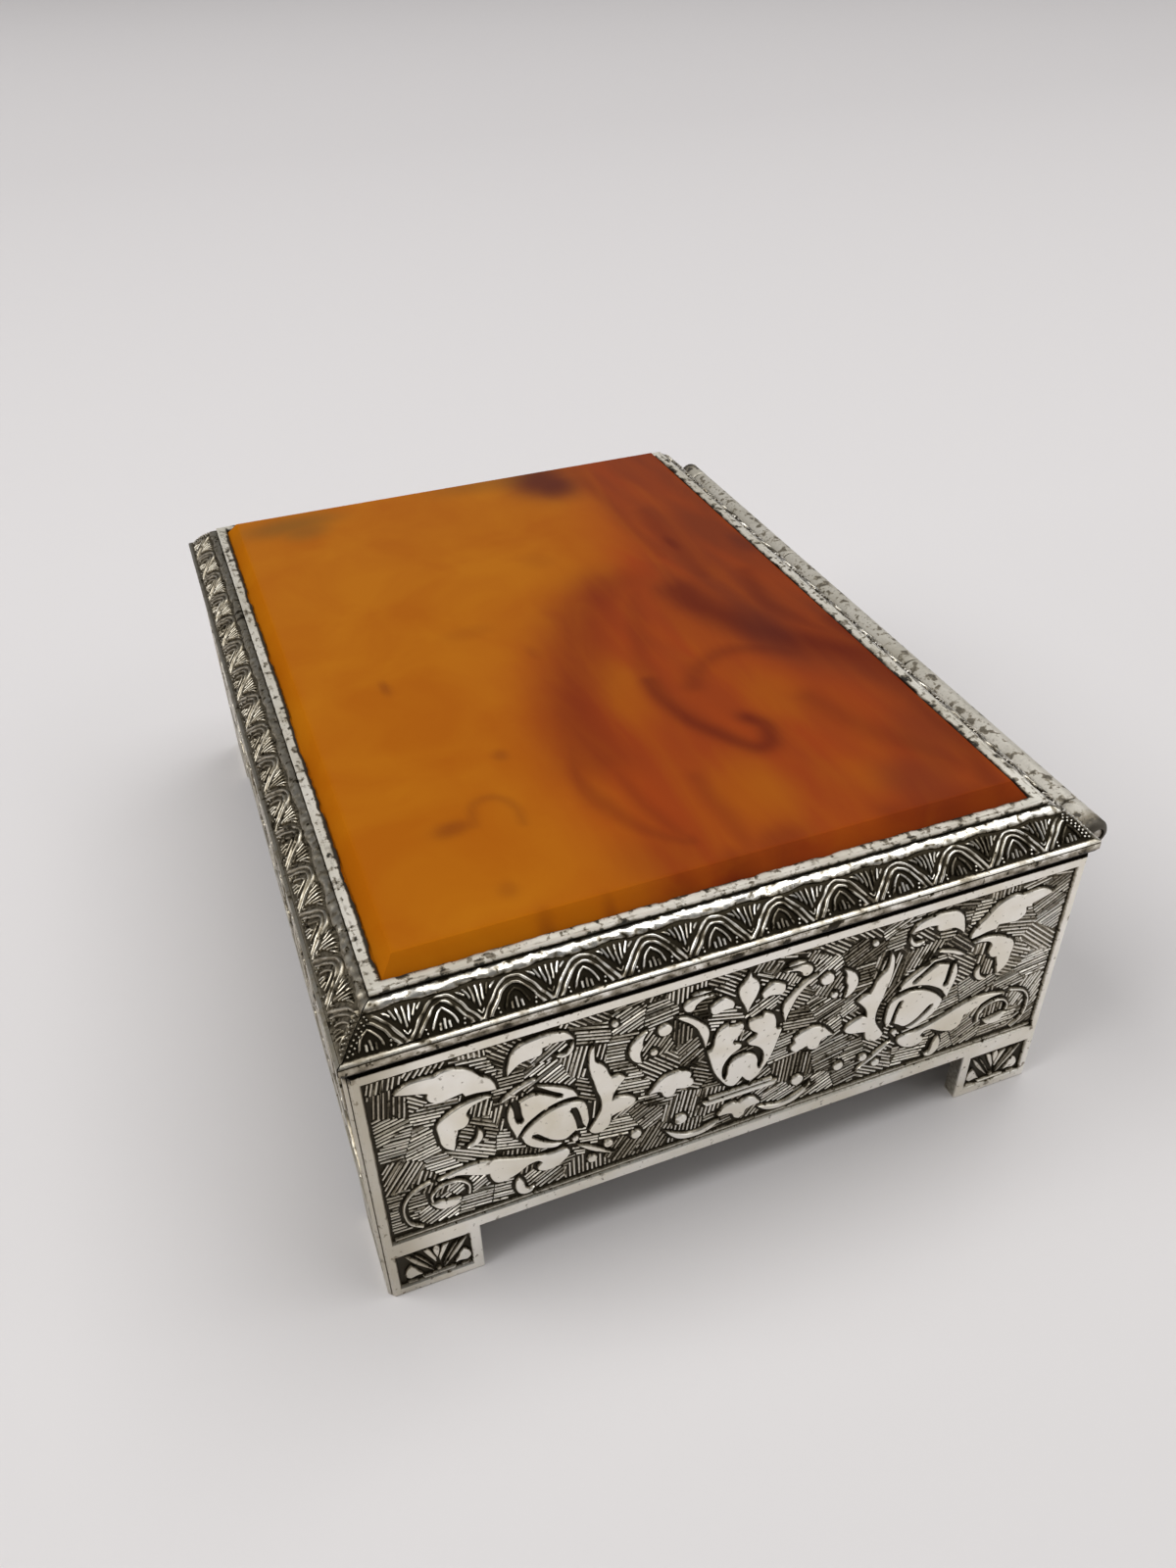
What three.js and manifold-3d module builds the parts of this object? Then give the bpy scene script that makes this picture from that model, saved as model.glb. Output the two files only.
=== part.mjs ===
// Table box for cigarettes: cast and plated panels on bracket feet, a cedar lining with a divider,
// and a hinged lid whose moulded frame holds a bevelled slab of marbled amber resin.
// Millimetres, +Z up. The long side runs along X, the front faces -Y and the hinge is at the back, +Y.
// The origin lies on the table, under the middle of the whole outline, hinge included.

import * as THREE from 'three';
import { mergeVertices } from 'three/addons/utils/BufferGeometryUtils.js';
import Module from 'manifold-3d';

const wasm = await Module();
wasm.setup();

// Outline of the lid, over its plain band
const LID_LENGTH = 135;
const LID_WIDTH = 100;

// Body panels and the bracket feet that are cast in one with them
const BODY_SETBACK = 0.4;
const FOOT_HEIGHT = 9.2;
const FOOT_WIDTH = 13;
const PANEL_HEIGHT = 34.6;
const PANEL_WALL = 2.4;
const RELIEF_DEPTH = 0.6;
const BORDER_SIDE = 1.6;
const BORDER_TOP = 1.3;
const BORDER_BOTTOM = 2;
const FOOT_BORDER = 1.3;
const FOOT_RAIL = 0.7;
const CORNER_CHAMFER = 0.8;
const LEDGE_WIDTH = 1.5;
const LEDGE_THICKNESS = 1;

// Main leaves of the sunk fields, drawn for an end panel of this half length and field height.
// Points are [x from the middle line, height above the field's lower edge], left half only.
const DRAWN_HALF = 49.6;
const DRAWN_HEIGHT = 31.3;
const LEAF_ROOT = 0.4;
const BUD_LEAVES = [
  [[-44.4, 27.8], [-42.4, 29], [-38.2, 29.2], [-35.6, 28],
    [-32.8, 23.7], [-36.7, 24.3], [-40, 24.5], [-40.8, 26.4]],
  [[-31.2, 25.4], [-30.7, 28.2], [-29.4, 29.6], [-26, 30],
    [-23.4, 28.8], [-26.9, 28], [-27.4, 27], [-30.3, 26.2]],
  [[-33.7, 22.4], [-37.1, 22.3], [-40.1, 20.2], [-40, 16.8],
    [-38.6, 15], [-37.8, 18.3], [-36.4, 19.6], [-36.4, 21.2]],
  [[-31.4, 19.4], [-31.6, 16.4], [-30.8, 13.5], [-29.6, 15.1],
    [-27.2, 16.9], [-23, 17.6], [-24.8, 19.9], [-27.7, 21.4]],
  [[-30, 13], [-28.4, 15], [-25.7, 16.4], [-22.3, 16],
    [-21.5, 13.8], [-21.7, 11.2], [-26.4, 9.2], [-29, 10.7]],
  [[-20.4, 25.3], [-21, 22.3], [-19.7, 14.8], [-21.1, 10],
    [-19.6, 9.1], [-18.4, 11.3], [-15.3, 12.8], [-18.1, 14.7],
    [-16.7, 18.1], [-18.3, 19], [-20.3, 23]],
  [[-40.6, 9.95], [-36.9, 10.8], [-33.3, 10.2], [-28.5, 8.3],
    [-24.3, 7.7], [-26.5, 5], [-28.3, 7.2], [-33.1, 5.6],
    [-34.6, 8]],
];
const SCROLL_LEAVES = [
  [[-12.9, 13.3], [-11, 15.6], [-8.5, 15.7], [-7.2, 13.8], [-7.4, 12.4], [-10.5, 11.6]],
  [[-13.6, 25.1], [-15.6, 23.4], [-15.6, 21.1], [-14.3, 19.9], [-14.4, 21.9]],
  [[-9.4, 25.8], [-7.2, 24.6], [-5.3, 22.3], [-5.6, 19.1], [-6.7, 22.2]],
  [[-5, 25.4], [-3.3, 26.7], [-2, 25.2], [-4, 24.6]],
  [[-10.6, 4.2], [-8.7, 2], [-6, 1.5], [-3.2, 2.8], [-5.8, 2.4], [-9, 3.2]],
];
const MIDDLE_LEAVES = [
  [[0, 10.6], [-1.2, 9.5], [-2.6, 10.4], [-4.3, 14], [-5.1, 17.6],
    [-4.1, 20.2], [-2.5, 21.5], [-0.5, 21],
    [-1.6, 18.1], [-0.5, 17], [-2.7, 14.4], [-2.5, 11.6], [-1.8, 14], [0, 14.8]],
  [[0, 29.9], [-1.3, 27.2], [-0.9, 25.2], [0, 23.2]],
  [[0, 5.2], [-1.3, 5.7], [-3, 4], [-1.1, 3.5], [0, 2.2]],
  [[0, 7.5], [-5.2, 7.5], [-5.2, 6.9], [0, 6.9]],
];

// Rosette on a stem that fills the wider field of a long panel, about its own middle line
const FLOWER_SHIFT = 6.5;
const ROSETTE_HEIGHT = 18.4;
const PETAL_COUNT = 5;
const PETAL = [[0, 1.5], [-1.2, 2.8], [-1, 4.2], [1, 4.2], [1.2, 2.8]];
const STEM = [[-0.35, 3], [0.35, 3], [0.35, 12.4], [-0.35, 12.4]];
const FLOWER_LEAVES = [
  [[-0.8, 5.2], [-3.6, 6.9], [-5.6, 12], [-6.3, 9.4], [-5.6, 6.4], [-3, 4.3]],
  [[-1.1, 25.1], [-3.6, 26.2], [-4.9, 29.2], [-1.8, 27.4]],
];

// Base sheet and cedar lining
const BASE_THICKNESS = 1;
const LINING_FLOOR = 2;
const LINING_WALL = 2.4;
const LINING_DROP = 1;
const DIVIDER_THICKNESS = 2.4;
const DIVIDER_DROP = 3;
const GROOVE_DEPTH = 0.8;

// Lid frame: plain band, convex moulding, seat of the bezel, and a flange that carries the slab
const JOINT_GAP = 0.7;
const BAND_HEIGHT = 1.85;
const BAND_LEDGE = 0.5;
const MOULDING_RUN = 5.3;
const MOULDING_RISE = 3.8;
const MOULDING_BULGE = 0.55;
const MOULDING_STEPS = 6;
const BEZEL_SEAT = 0.4;
const FLANGE_WIDTH = 2.5;
const FLANGE_THICKNESS = 2;

// Bezel, slab, backing sheet and lid lining
const BEZEL_WIDTH = 1.75;
const BEZEL_THICKNESS = 0.5;
const SLAB_PROUD = 1.65;
const SLAB_BEVEL = 1.8;
const BACKING_THICKNESS = 0.7;
const LID_LINING = 1.6;

// Barrel hinge along the back
const KNUCKLE_RADIUS = 2;
const PIN_RADIUS = 0.9;
const BARREL_INSET = 3;
const END_KNUCKLE = 6;
const MID_KNUCKLE = 40;
const LEAF_THICKNESS = 0.6;
const LEAF_REACH = 4.5;
const ROUND_SIDES = 24;

// Clearances
const SOLDER_GAP = 0.1;
const GLUE_LINE = 0.1;
const FIT = 0.2;
const HINGE_PLAY = 0.3;
const PIN_PLAY = 0.15;

// Reach of a cutter past the face that it opens
const OVERCUT = 2;

// Sizes and levels that follow from the values above
const bodyLength = LID_LENGTH - 2 * BODY_SETBACK;
const bodyWidth = LID_WIDTH - 2 * BODY_SETBACK;
const innerLength = bodyLength - 2 * PANEL_WALL;
const innerWidth = bodyWidth - 2 * PANEL_WALL;

const panelTop = FOOT_HEIGHT + PANEL_HEIGHT;
const ledgeTop = FOOT_HEIGHT + LEDGE_THICKNESS;
const baseBottom = ledgeTop + GLUE_LINE;
const floorBottom = baseBottom + BASE_THICKNESS + GLUE_LINE;
const liningBottom = floorBottom + LINING_FLOOR + GLUE_LINE;
const liningTop = panelTop - LINING_DROP;

const lidBottom = panelTop + JOINT_GAP;
const bandTop = lidBottom + BAND_HEIGHT;
const seatLevel = bandTop + MOULDING_RISE;
const bezelBottom = seatLevel + GLUE_LINE;
const bezelTop = bezelBottom + BEZEL_THICKNESS;
const flangeTop = lidBottom + FLANGE_THICKNESS;
const backingBottom = flangeTop + GLUE_LINE;
const slabBottom = backingBottom + BACKING_THICKNESS + GLUE_LINE;
const slabShoulder = bezelBottom - GLUE_LINE;
const slabTop = bezelTop + SLAB_PROUD;

const rabbetInset = MOULDING_RUN + BEZEL_SEAT;
const flangeInset = rabbetInset + FLANGE_WIDTH;
const bezelInset = MOULDING_RUN + BEZEL_WIDTH;

const hingeLevel = panelTop + JOINT_GAP / 2;
const hingeY = LID_WIDTH / 2 + HINGE_PLAY + KNUCKLE_RADIUS;
const bore = PIN_RADIUS + PIN_PLAY;
const barrelLength = LID_LENGTH - 2 * BARREL_INSET;
const hingeOverhang = hingeY + KNUCKLE_RADIUS - LID_WIDTH / 2;
const bodyStrip = innerLength - 2 * FIT;
const lidStrip = LID_LENGTH - 2 * (LEAF_REACH + SOLDER_GAP + 2 * FIT);

// Closed meshes go to solids for joining and cutting, and come back as geometry
function toSolid(geometry) {
  const bare = geometry.clone();
  bare.deleteAttribute('normal');
  bare.deleteAttribute('uv');
  const merged = mergeVertices(bare, 1e-4);
  const vertProperties = Float32Array.from(merged.attributes.position.array);
  const triVerts = Uint32Array.from(merged.index.array);
  return new wasm.Manifold(new wasm.Mesh({ numProp: 3, vertProperties, triVerts }));
}

function toGeometry(solid) {
  const mesh = solid.getMesh();
  const geometry = new THREE.BufferGeometry();
  geometry.setAttribute('position', new THREE.BufferAttribute(Float32Array.from(mesh.vertProperties), 3));
  geometry.setIndex(new THREE.BufferAttribute(Uint32Array.from(mesh.triVerts), 1));
  geometry.computeVertexNormals();
  return geometry;
}

function join(pieces) {
  return toGeometry(pieces.map(toSolid).reduce((whole, piece) => whole.add(piece)));
}

function cut(geometry, cutters) {
  const whole = toSolid(geometry);
  return toGeometry(cutters.map(toSolid).reduce((rest, cutter) => rest.subtract(cutter), whole));
}

// A block between two corners
function block([x0, y0, z0], [x1, y1, z1]) {
  const geometry = new THREE.BoxGeometry(x1 - x0, y1 - y0, z1 - z0);
  return geometry.translate((x0 + x1) / 2, (y0 + y1) / 2, (z0 + z1) / 2);
}

// A sheet or board centred on the box, lying between two levels
function board(length, width, bottom, top) {
  return block([-length / 2, -width / 2, bottom], [length / 2, width / 2, top]);
}

// A plan outline raised between two levels
function raised(points, bottom, top) {
  const shape = new THREE.Shape(points.map(([x, y]) => new THREE.Vector2(x, y)));
  const geometry = new THREE.ExtrudeGeometry(shape, { depth: top - bottom, bevelEnabled: false });
  return geometry.translate(0, 0, bottom);
}

// A bar along X with mitred ends. The section's points are [inset, level], anticlockwise;
// the outer face lies at y = 0 and insets run towards +Y.
function mitredBar(section, length) {
  const half = length / 2 - SOLDER_GAP;
  const left = section.map(([inset, level]) => [inset - half, inset, level]);
  const right = section.map(([inset, level]) => [half - inset, inset, level]);
  const count = section.length;
  const outline = section.map(([inset, level]) => new THREE.Vector2(inset, level));
  const triangles = [];
  for (const [a, b, c] of THREE.ShapeUtils.triangulateShape(outline, [])) {
    triangles.push(count + a, count + b, count + c);
    triangles.push(a, c, b);
  }
  for (let i = 0; i < count; i += 1) {
    const j = (i + 1) % count;
    triangles.push(i, j, count + j);
    triangles.push(i, count + j, count + i);
  }
  const geometry = new THREE.BufferGeometry();
  geometry.setAttribute('position', new THREE.Float32BufferAttribute([...left, ...right].flat(), 3));
  geometry.setIndex(triangles);
  geometry.computeVertexNormals();
  return geometry;
}

// A tube or rod along X
function roundBar(radius, hole, x0, x1) {
  const shape = new THREE.Shape().absarc(0, 0, radius, 0, 2 * Math.PI, false);
  if (hole > 0) {
    shape.holes.push(new THREE.Path().absarc(0, 0, hole, 0, 2 * Math.PI, true));
  }
  const options = { depth: x1 - x0, bevelEnabled: false, curveSegments: ROUND_SIDES / 2 };
  const geometry = new THREE.ExtrudeGeometry(shape, options).rotateY(Math.PI / 2);
  return geometry.translate(x0, hingeY, hingeLevel);
}

const flipped = (outline) => outline.map(([x, z]) => [-x, z]);
const moved = (outline, shift) => outline.map(([x, z]) => [x + shift, z]);

// Outlines of the leaves in the field of a panel: a bud group at each end, scrolls beside the middle,
// and on a panel with room for it a rosette between them
function leafOutlines(length) {
  const push = length / 2 - DRAWN_HALF;
  const left = [...BUD_LEAVES.map((outline) => moved(outline, -push)), ...SCROLL_LEAVES];
  if (push > 2 * FLOWER_SHIFT) {
    const petals = Array.from({ length: PETAL_COUNT }, (_, i) => {
      const turn = (2 * Math.PI * i) / PETAL_COUNT;
      const [cos, sin] = [Math.cos(turn), Math.sin(turn)];
      return PETAL.map(([x, z]) => [x * cos - z * sin, ROSETTE_HEIGHT + x * sin + z * cos]);
    });
    const flower = [...petals, STEM, ...FLOWER_LEAVES, ...FLOWER_LEAVES.map(flipped)];
    left.push(...flower.map((outline) => moved(outline, -push - FLOWER_SHIFT)));
  }
  const middle = MIDDLE_LEAVES.map((half) => [...half, ...flipped(half).slice(1, -1).reverse()]);
  return [...left, ...left.map(flipped), ...middle];
}

// The leaves stand on the ground of the field and end level with its border
function leafGeometries(length) {
  const fieldBottom = FOOT_HEIGHT + BORDER_BOTTOM;
  const stretch = (panelTop - BORDER_TOP - fieldBottom) / DRAWN_HEIGHT;
  return leafOutlines(length).map((outline) => {
    const placed = outline.map(([x, z]) => [x, fieldBottom + stretch * z]);
    return raised(placed, -RELIEF_DEPTH - LEAF_ROOT, 0).rotateX(Math.PI / 2);
  });
}

// Body panel: a mitred wall with softened corners, a sunk field of leaves inside a plain border,
// an opening that leaves a foot at each end, and a ledge inside for the base sheet.
function panelGeometry(length) {
  const half = length / 2 - SOLDER_GAP;
  const soft = CORNER_CHAMFER;
  const plan = [
    [soft - half, 0],
    [half - soft, 0],
    [half - soft / 2, soft / 2],
    [half - PANEL_WALL, PANEL_WALL],
    [PANEL_WALL - half, PANEL_WALL],
    [soft / 2 - half, soft / 2],
  ];
  const ledgeBack = PANEL_WALL + LEDGE_WIDTH;
  const ledgePlan = [
    [PANEL_WALL / 2 - half, PANEL_WALL / 2],
    [half - PANEL_WALL / 2, PANEL_WALL / 2],
    [half - ledgeBack, ledgeBack],
    [ledgeBack - half, ledgeBack],
  ];
  const wall = join([raised(plan, 0, panelTop), raised(ledgePlan, FOOT_HEIGHT, ledgeTop)]);

  const archHalf = length / 2 - FOOT_WIDTH;
  const arch = block([-archHalf, -OVERCUT, -OVERCUT], [archHalf, ledgeBack + OVERCUT, FOOT_HEIGHT]);
  const fieldHalf = length / 2 - BORDER_SIDE;
  const field = block(
    [-fieldHalf, -OVERCUT, FOOT_HEIGHT + BORDER_BOTTOM],
    [fieldHalf, RELIEF_DEPTH, panelTop - BORDER_TOP],
  );
  const footFields = [-1, 1].map((side) => {
    const outer = length / 2 - BORDER_SIDE;
    const inner = length / 2 - FOOT_WIDTH + FOOT_BORDER;
    const ends = [side * outer, side * inner].sort((a, b) => a - b);
    return block([ends[0], -OVERCUT, FOOT_BORDER], [ends[1], RELIEF_DEPTH, FOOT_HEIGHT - FOOT_RAIL]);
  });
  return join([cut(wall, [arch, field, ...footFields]), ...leafGeometries(length)]);
}

// The back panel's top edge is let down for the hinge leaf
function backPanelGeometry() {
  const rebateHalf = Math.max(bodyStrip, barrelLength) / 2 + FIT;
  const rebateBottom = panelTop - LEAF_THICKNESS - GLUE_LINE;
  const rebate = block(
    [-rebateHalf, -OVERCUT, rebateBottom],
    [rebateHalf, PANEL_WALL + OVERCUT, panelTop + OVERCUT],
  );
  return cut(panelGeometry(bodyLength), [rebate]);
}

// Lid moulding section: band, small ledge, convex face, bezel seat, rabbet and flange
function mouldingSection() {
  const foot = new THREE.Vector2(BAND_LEDGE, bandTop);
  const head = new THREE.Vector2(MOULDING_RUN, seatLevel);
  const chord = head.clone().sub(foot);
  const outward = new THREE.Vector2(-chord.y, chord.x).normalize();
  const crown = foot.clone().lerp(head, 0.5).addScaledVector(outward, 2 * MOULDING_BULGE);
  const face = new THREE.QuadraticBezierCurve(foot, crown, head).getPoints(MOULDING_STEPS);
  return [
    [0, lidBottom],
    [flangeInset, lidBottom],
    [flangeInset, flangeTop],
    [rabbetInset, flangeTop],
    [rabbetInset, seatLevel],
    ...face.reverse().map((point) => [point.x, point.y]),
    [0, bandTop],
  ];
}

// The back moulding's underside is let in for the hinge leaf
function backMouldingGeometry() {
  const rebateHalf = lidStrip / 2 + FIT;
  const rebate = block(
    [-rebateHalf, -OVERCUT, lidBottom - OVERCUT],
    [rebateHalf, LEAF_REACH + FIT, lidBottom + LEAF_THICKNESS + GLUE_LINE],
  );
  return cut(mitredBar(mouldingSection(), LID_LENGTH), [rebate]);
}

// Flat rectangular ring that laps over the slab's edge
function bezelGeometry() {
  const corners = (inset) => {
    const x = LID_LENGTH / 2 - inset;
    const y = LID_WIDTH / 2 - inset;
    return [[-x, -y], [x, -y], [x, y], [-x, y]].map(([u, v]) => new THREE.Vector2(u, v));
  };
  const shape = new THREE.Shape(corners(MOULDING_RUN));
  shape.holes.push(new THREE.Path(corners(bezelInset).reverse()));
  const geometry = new THREE.ExtrudeGeometry(shape, { depth: BEZEL_THICKNESS, bevelEnabled: false });
  return geometry.translate(0, 0, bezelBottom);
}

// Slab of resin: square edge, a shoulder under the bezel, then a bevel up to the polished top
function slabGeometry() {
  const levels = [
    [rabbetInset + FIT, slabBottom],
    [rabbetInset + FIT, slabShoulder],
    [bezelInset, slabShoulder],
    [bezelInset + SLAB_BEVEL, slabTop],
  ];
  const points = levels.flatMap(([inset, level]) => {
    const x = LID_LENGTH / 2 - inset;
    const y = LID_WIDTH / 2 - inset;
    return [[-x, -y, level], [x, -y, level], [x, y, level], [-x, y, level]];
  });
  const triangles = [0, 2, 1, 0, 3, 2];
  for (let ring = 0; ring < levels.length - 1; ring += 1) {
    for (let corner = 0; corner < 4; corner += 1) {
      const a = 4 * ring + corner;
      const b = 4 * ring + ((corner + 1) % 4);
      triangles.push(a, b, b + 4);
      triangles.push(a, b + 4, a + 4);
    }
  }
  const crown = 4 * (levels.length - 1);
  triangles.push(crown, crown + 1, crown + 2, crown, crown + 2, crown + 3);
  const geometry = new THREE.BufferGeometry();
  geometry.setAttribute('position', new THREE.Float32BufferAttribute(points.flat(), 3));
  geometry.setIndex(triangles);
  geometry.computeVertexNormals();
  return geometry;
}

// Lining board at the front or back, grooved for the divider. Its outer face is at y = 0.
function longLiningGeometry() {
  const half = innerLength / 2 - FIT;
  const whole = block([-half, 0, liningBottom], [half, LINING_WALL, liningTop]);
  const grooveHalf = DIVIDER_THICKNESS / 2 + FIT;
  const groove = block(
    [-grooveHalf, LINING_WALL - GROOVE_DEPTH, liningBottom - OVERCUT],
    [grooveHalf, LINING_WALL + OVERCUT, liningTop + OVERCUT],
  );
  return cut(whole, [groove]);
}

// Lining board at an end, between the two long ones. Its outer face is at y = 0.
function endLiningGeometry() {
  const half = innerWidth / 2 - GLUE_LINE - LINING_WALL - FIT;
  return block([-half, 0, liningBottom], [half, LINING_WALL, liningTop]);
}

function dividerGeometry() {
  const half = innerWidth / 2 - GLUE_LINE - LINING_WALL + GROOVE_DEPTH - FIT;
  return block(
    [-DIVIDER_THICKNESS / 2, -half, liningBottom],
    [DIVIDER_THICKNESS / 2, half, liningTop - DIVIDER_DROP],
  );
}

// Knuckle spans along X, from the left end of the barrel to the right, turn about on body and lid
function knuckleSpans() {
  const end = barrelLength / 2;
  const joints = [-end, END_KNUCKLE - end, -MID_KNUCKLE / 2, MID_KNUCKLE / 2, end - END_KNUCKLE, end];
  return joints.slice(0, -1).map((start, i) => {
    const trimStart = i > 0 ? HINGE_PLAY / 2 : 0;
    const trimEnd = i < joints.length - 2 ? HINGE_PLAY / 2 : 0;
    return [start + trimStart, joints[i + 1] - trimEnd];
  });
}

// A hinge leaf: a flat strip, with a tongue out to each of its knuckles
function leafGeometry(spans, length, innerY, outerY, bottom) {
  const top = bottom + LEAF_THICKNESS;
  const tongueEnd = hingeY - (KNUCKLE_RADIUS + bore) / 2;
  const strip = block([-length / 2, innerY, bottom], [length / 2, outerY, top]);
  const rootY = outerY - LEAF_THICKNESS;
  const knuckles = spans.flatMap(([x0, x1]) => [
    block([x0, rootY, bottom], [x1, tongueEnd, top]),
    roundBar(KNUCKLE_RADIUS, bore, x0, x1),
  ]);
  return join([strip, ...knuckles]);
}

// Finishes
const FINISHES = {
  plated: { color: 0xb9b3a4, roughness: 0.32, metalness: 1 },
  bezel: { color: 0xc9c1ac, roughness: 0.5, metalness: 0.8 },
  barrel: { color: 0xb5ad9b, roughness: 0.45, metalness: 0.9 },
  pin: { color: 0x8d8a84, roughness: 0.35, metalness: 1 },
  sheet: { color: 0x9d9a93, roughness: 0.45, metalness: 1 },
  resin: { color: 0xb4610f, roughness: 0.12, metalness: 0 },
  cedar: { color: 0xa9714a, roughness: 0.7, metalness: 0 },
};

function piece(name, geometry, finish) {
  const mesh = new THREE.Mesh(geometry, new THREE.MeshStandardMaterial(FINISHES[finish]));
  mesh.name = name;
  return mesh;
}

// Turns a piece made with its outer face at y = 0 to one side of the box, that far from the middle
function onSide(mesh, side, distance) {
  const turn = { front: 0, right: Math.PI / 2, back: Math.PI, left: -Math.PI / 2 }[side];
  mesh.rotation.z = turn;
  mesh.position.set(Math.sin(turn) * distance, -Math.cos(turn) * distance, 0);
  return mesh;
}

const spans = knuckleSpans();
const bodySpans = spans.filter((span, i) => i % 2 === 0);
const lidSpans = spans.filter((span, i) => i % 2 === 1);

const body = new THREE.Group();
body.add(
  onSide(piece('front_panel', panelGeometry(bodyLength), 'plated'), 'front', bodyWidth / 2),
  onSide(piece('back_panel', backPanelGeometry(), 'plated'), 'back', bodyWidth / 2),
  onSide(piece('left_panel', panelGeometry(bodyWidth), 'plated'), 'left', bodyLength / 2),
  onSide(piece('right_panel', panelGeometry(bodyWidth), 'plated'), 'right', bodyLength / 2),
);

const plateLength = innerLength - 2 * FIT;
const plateWidth = innerWidth - 2 * FIT;
const base = board(plateLength, plateWidth, baseBottom, baseBottom + BASE_THICKNESS);
const liningFloor = board(plateLength, plateWidth, floorBottom, floorBottom + LINING_FLOOR);
const longLiningY = innerWidth / 2 - GLUE_LINE;
const endLiningX = innerLength / 2 - GLUE_LINE;
body.add(
  piece('base_plate', base, 'sheet'),
  piece('lining_floor', liningFloor, 'cedar'),
  onSide(piece('lining_front', longLiningGeometry(), 'cedar'), 'front', longLiningY),
  onSide(piece('lining_back', longLiningGeometry(), 'cedar'), 'back', longLiningY),
  onSide(piece('lining_left', endLiningGeometry(), 'cedar'), 'left', endLiningX),
  onSide(piece('lining_right', endLiningGeometry(), 'cedar'), 'right', endLiningX),
  piece('divider', dividerGeometry(), 'cedar'),
);

const bodyLeafBottom = panelTop - LEAF_THICKNESS;
const bodyLeaf = leafGeometry(bodySpans, bodyStrip, innerWidth / 2, bodyWidth / 2, bodyLeafBottom);
const pin = roundBar(PIN_RADIUS, 0, -barrelLength / 2, barrelLength / 2);
body.add(
  piece('hinge_body_leaf', bodyLeaf, 'barrel'),
  piece('hinge_pin', pin, 'pin'),
);

const lid = new THREE.Group();
const longBar = mitredBar(mouldingSection(), LID_LENGTH);
const shortBar = mitredBar(mouldingSection(), LID_WIDTH);
lid.add(
  onSide(piece('lid_front_moulding', longBar, 'plated'), 'front', LID_WIDTH / 2),
  onSide(piece('lid_back_moulding', backMouldingGeometry(), 'plated'), 'back', LID_WIDTH / 2),
  onSide(piece('lid_left_moulding', shortBar, 'plated'), 'left', LID_LENGTH / 2),
  onSide(piece('lid_right_moulding', shortBar.clone(), 'plated'), 'right', LID_LENGTH / 2),
);

const trayInset = rabbetInset + FIT;
const backing = board(
  LID_LENGTH - 2 * trayInset,
  LID_WIDTH - 2 * trayInset,
  backingBottom,
  backingBottom + BACKING_THICKNESS,
);
const liningInset = flangeInset + FIT;
const lidLiningTop = backingBottom - GLUE_LINE;
const lidLining = board(
  LID_LENGTH - 2 * liningInset,
  LID_WIDTH - 2 * liningInset,
  lidLiningTop - LID_LINING,
  lidLiningTop,
);
const lidLeafInner = LID_WIDTH / 2 - LEAF_REACH;
const lidLeaf = leafGeometry(lidSpans, lidStrip, lidLeafInner, LID_WIDTH / 2, lidBottom);
lid.add(
  piece('slab_bezel', bezelGeometry(), 'bezel'),
  piece('amber_slab', slabGeometry(), 'resin'),
  piece('slab_backing', backing, 'sheet'),
  piece('lid_lining', lidLining, 'cedar'),
  piece('hinge_lid_leaf', lidLeaf, 'barrel'),
);

const box = new THREE.Group();
box.add(body, lid);
box.position.y = -hingeOverhang / 2;

export default box;
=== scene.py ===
# %% [markdown]
# # A table box for cigarettes
#
# The box is cast and plated metal: four chased panels on bracket feet, a lid with a leaf moulding,
# and a bevelled slab of marbled amber resin held by a flat rim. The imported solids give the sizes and
# places, so this lesson only dresses them. It works in millimetres, and each piece turns its points into
# metres when its mesh is made.

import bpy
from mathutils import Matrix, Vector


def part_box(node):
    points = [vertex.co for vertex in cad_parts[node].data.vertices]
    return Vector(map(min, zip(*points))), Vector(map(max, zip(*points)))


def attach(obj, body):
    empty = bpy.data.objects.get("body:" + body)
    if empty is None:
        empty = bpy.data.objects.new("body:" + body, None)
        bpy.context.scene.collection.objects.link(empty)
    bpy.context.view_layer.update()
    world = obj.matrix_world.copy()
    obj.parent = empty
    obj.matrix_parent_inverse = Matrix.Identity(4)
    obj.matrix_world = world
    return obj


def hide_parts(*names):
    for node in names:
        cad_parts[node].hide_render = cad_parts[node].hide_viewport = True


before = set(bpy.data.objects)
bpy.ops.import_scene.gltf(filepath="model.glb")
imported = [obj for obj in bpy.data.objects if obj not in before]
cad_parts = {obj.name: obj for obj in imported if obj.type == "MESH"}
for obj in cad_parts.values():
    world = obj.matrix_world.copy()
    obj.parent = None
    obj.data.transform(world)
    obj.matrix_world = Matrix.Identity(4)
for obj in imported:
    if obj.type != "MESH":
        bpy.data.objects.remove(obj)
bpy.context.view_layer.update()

# %% Tools, and the sizes that the frame gives
import math
import random

import bmesh
import bpy
from mathutils import Quaternion, Vector, kdtree, noise
from mathutils.geometry import delaunay_2d_cdt, interpolate_bezier

MM = 0.001


def node_box(name):
    """Lowest and highest corner of a solid, in millimetres."""
    low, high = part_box(name)
    return low / MM, high / MM


front_low, _ = node_box("front_panel")
_, back_high = node_box("back_panel")
right_low, right_high = node_box("right_panel")
band_low, band_high = node_box("lid_right_moulding")
lid_front_low, _ = node_box("lid_front_moulding")
_, lid_back_high = node_box("lid_back_moulding")
bezel_low, bezel_high = node_box("slab_bezel")
slab_low, slab_high = node_box("amber_slab")

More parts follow.
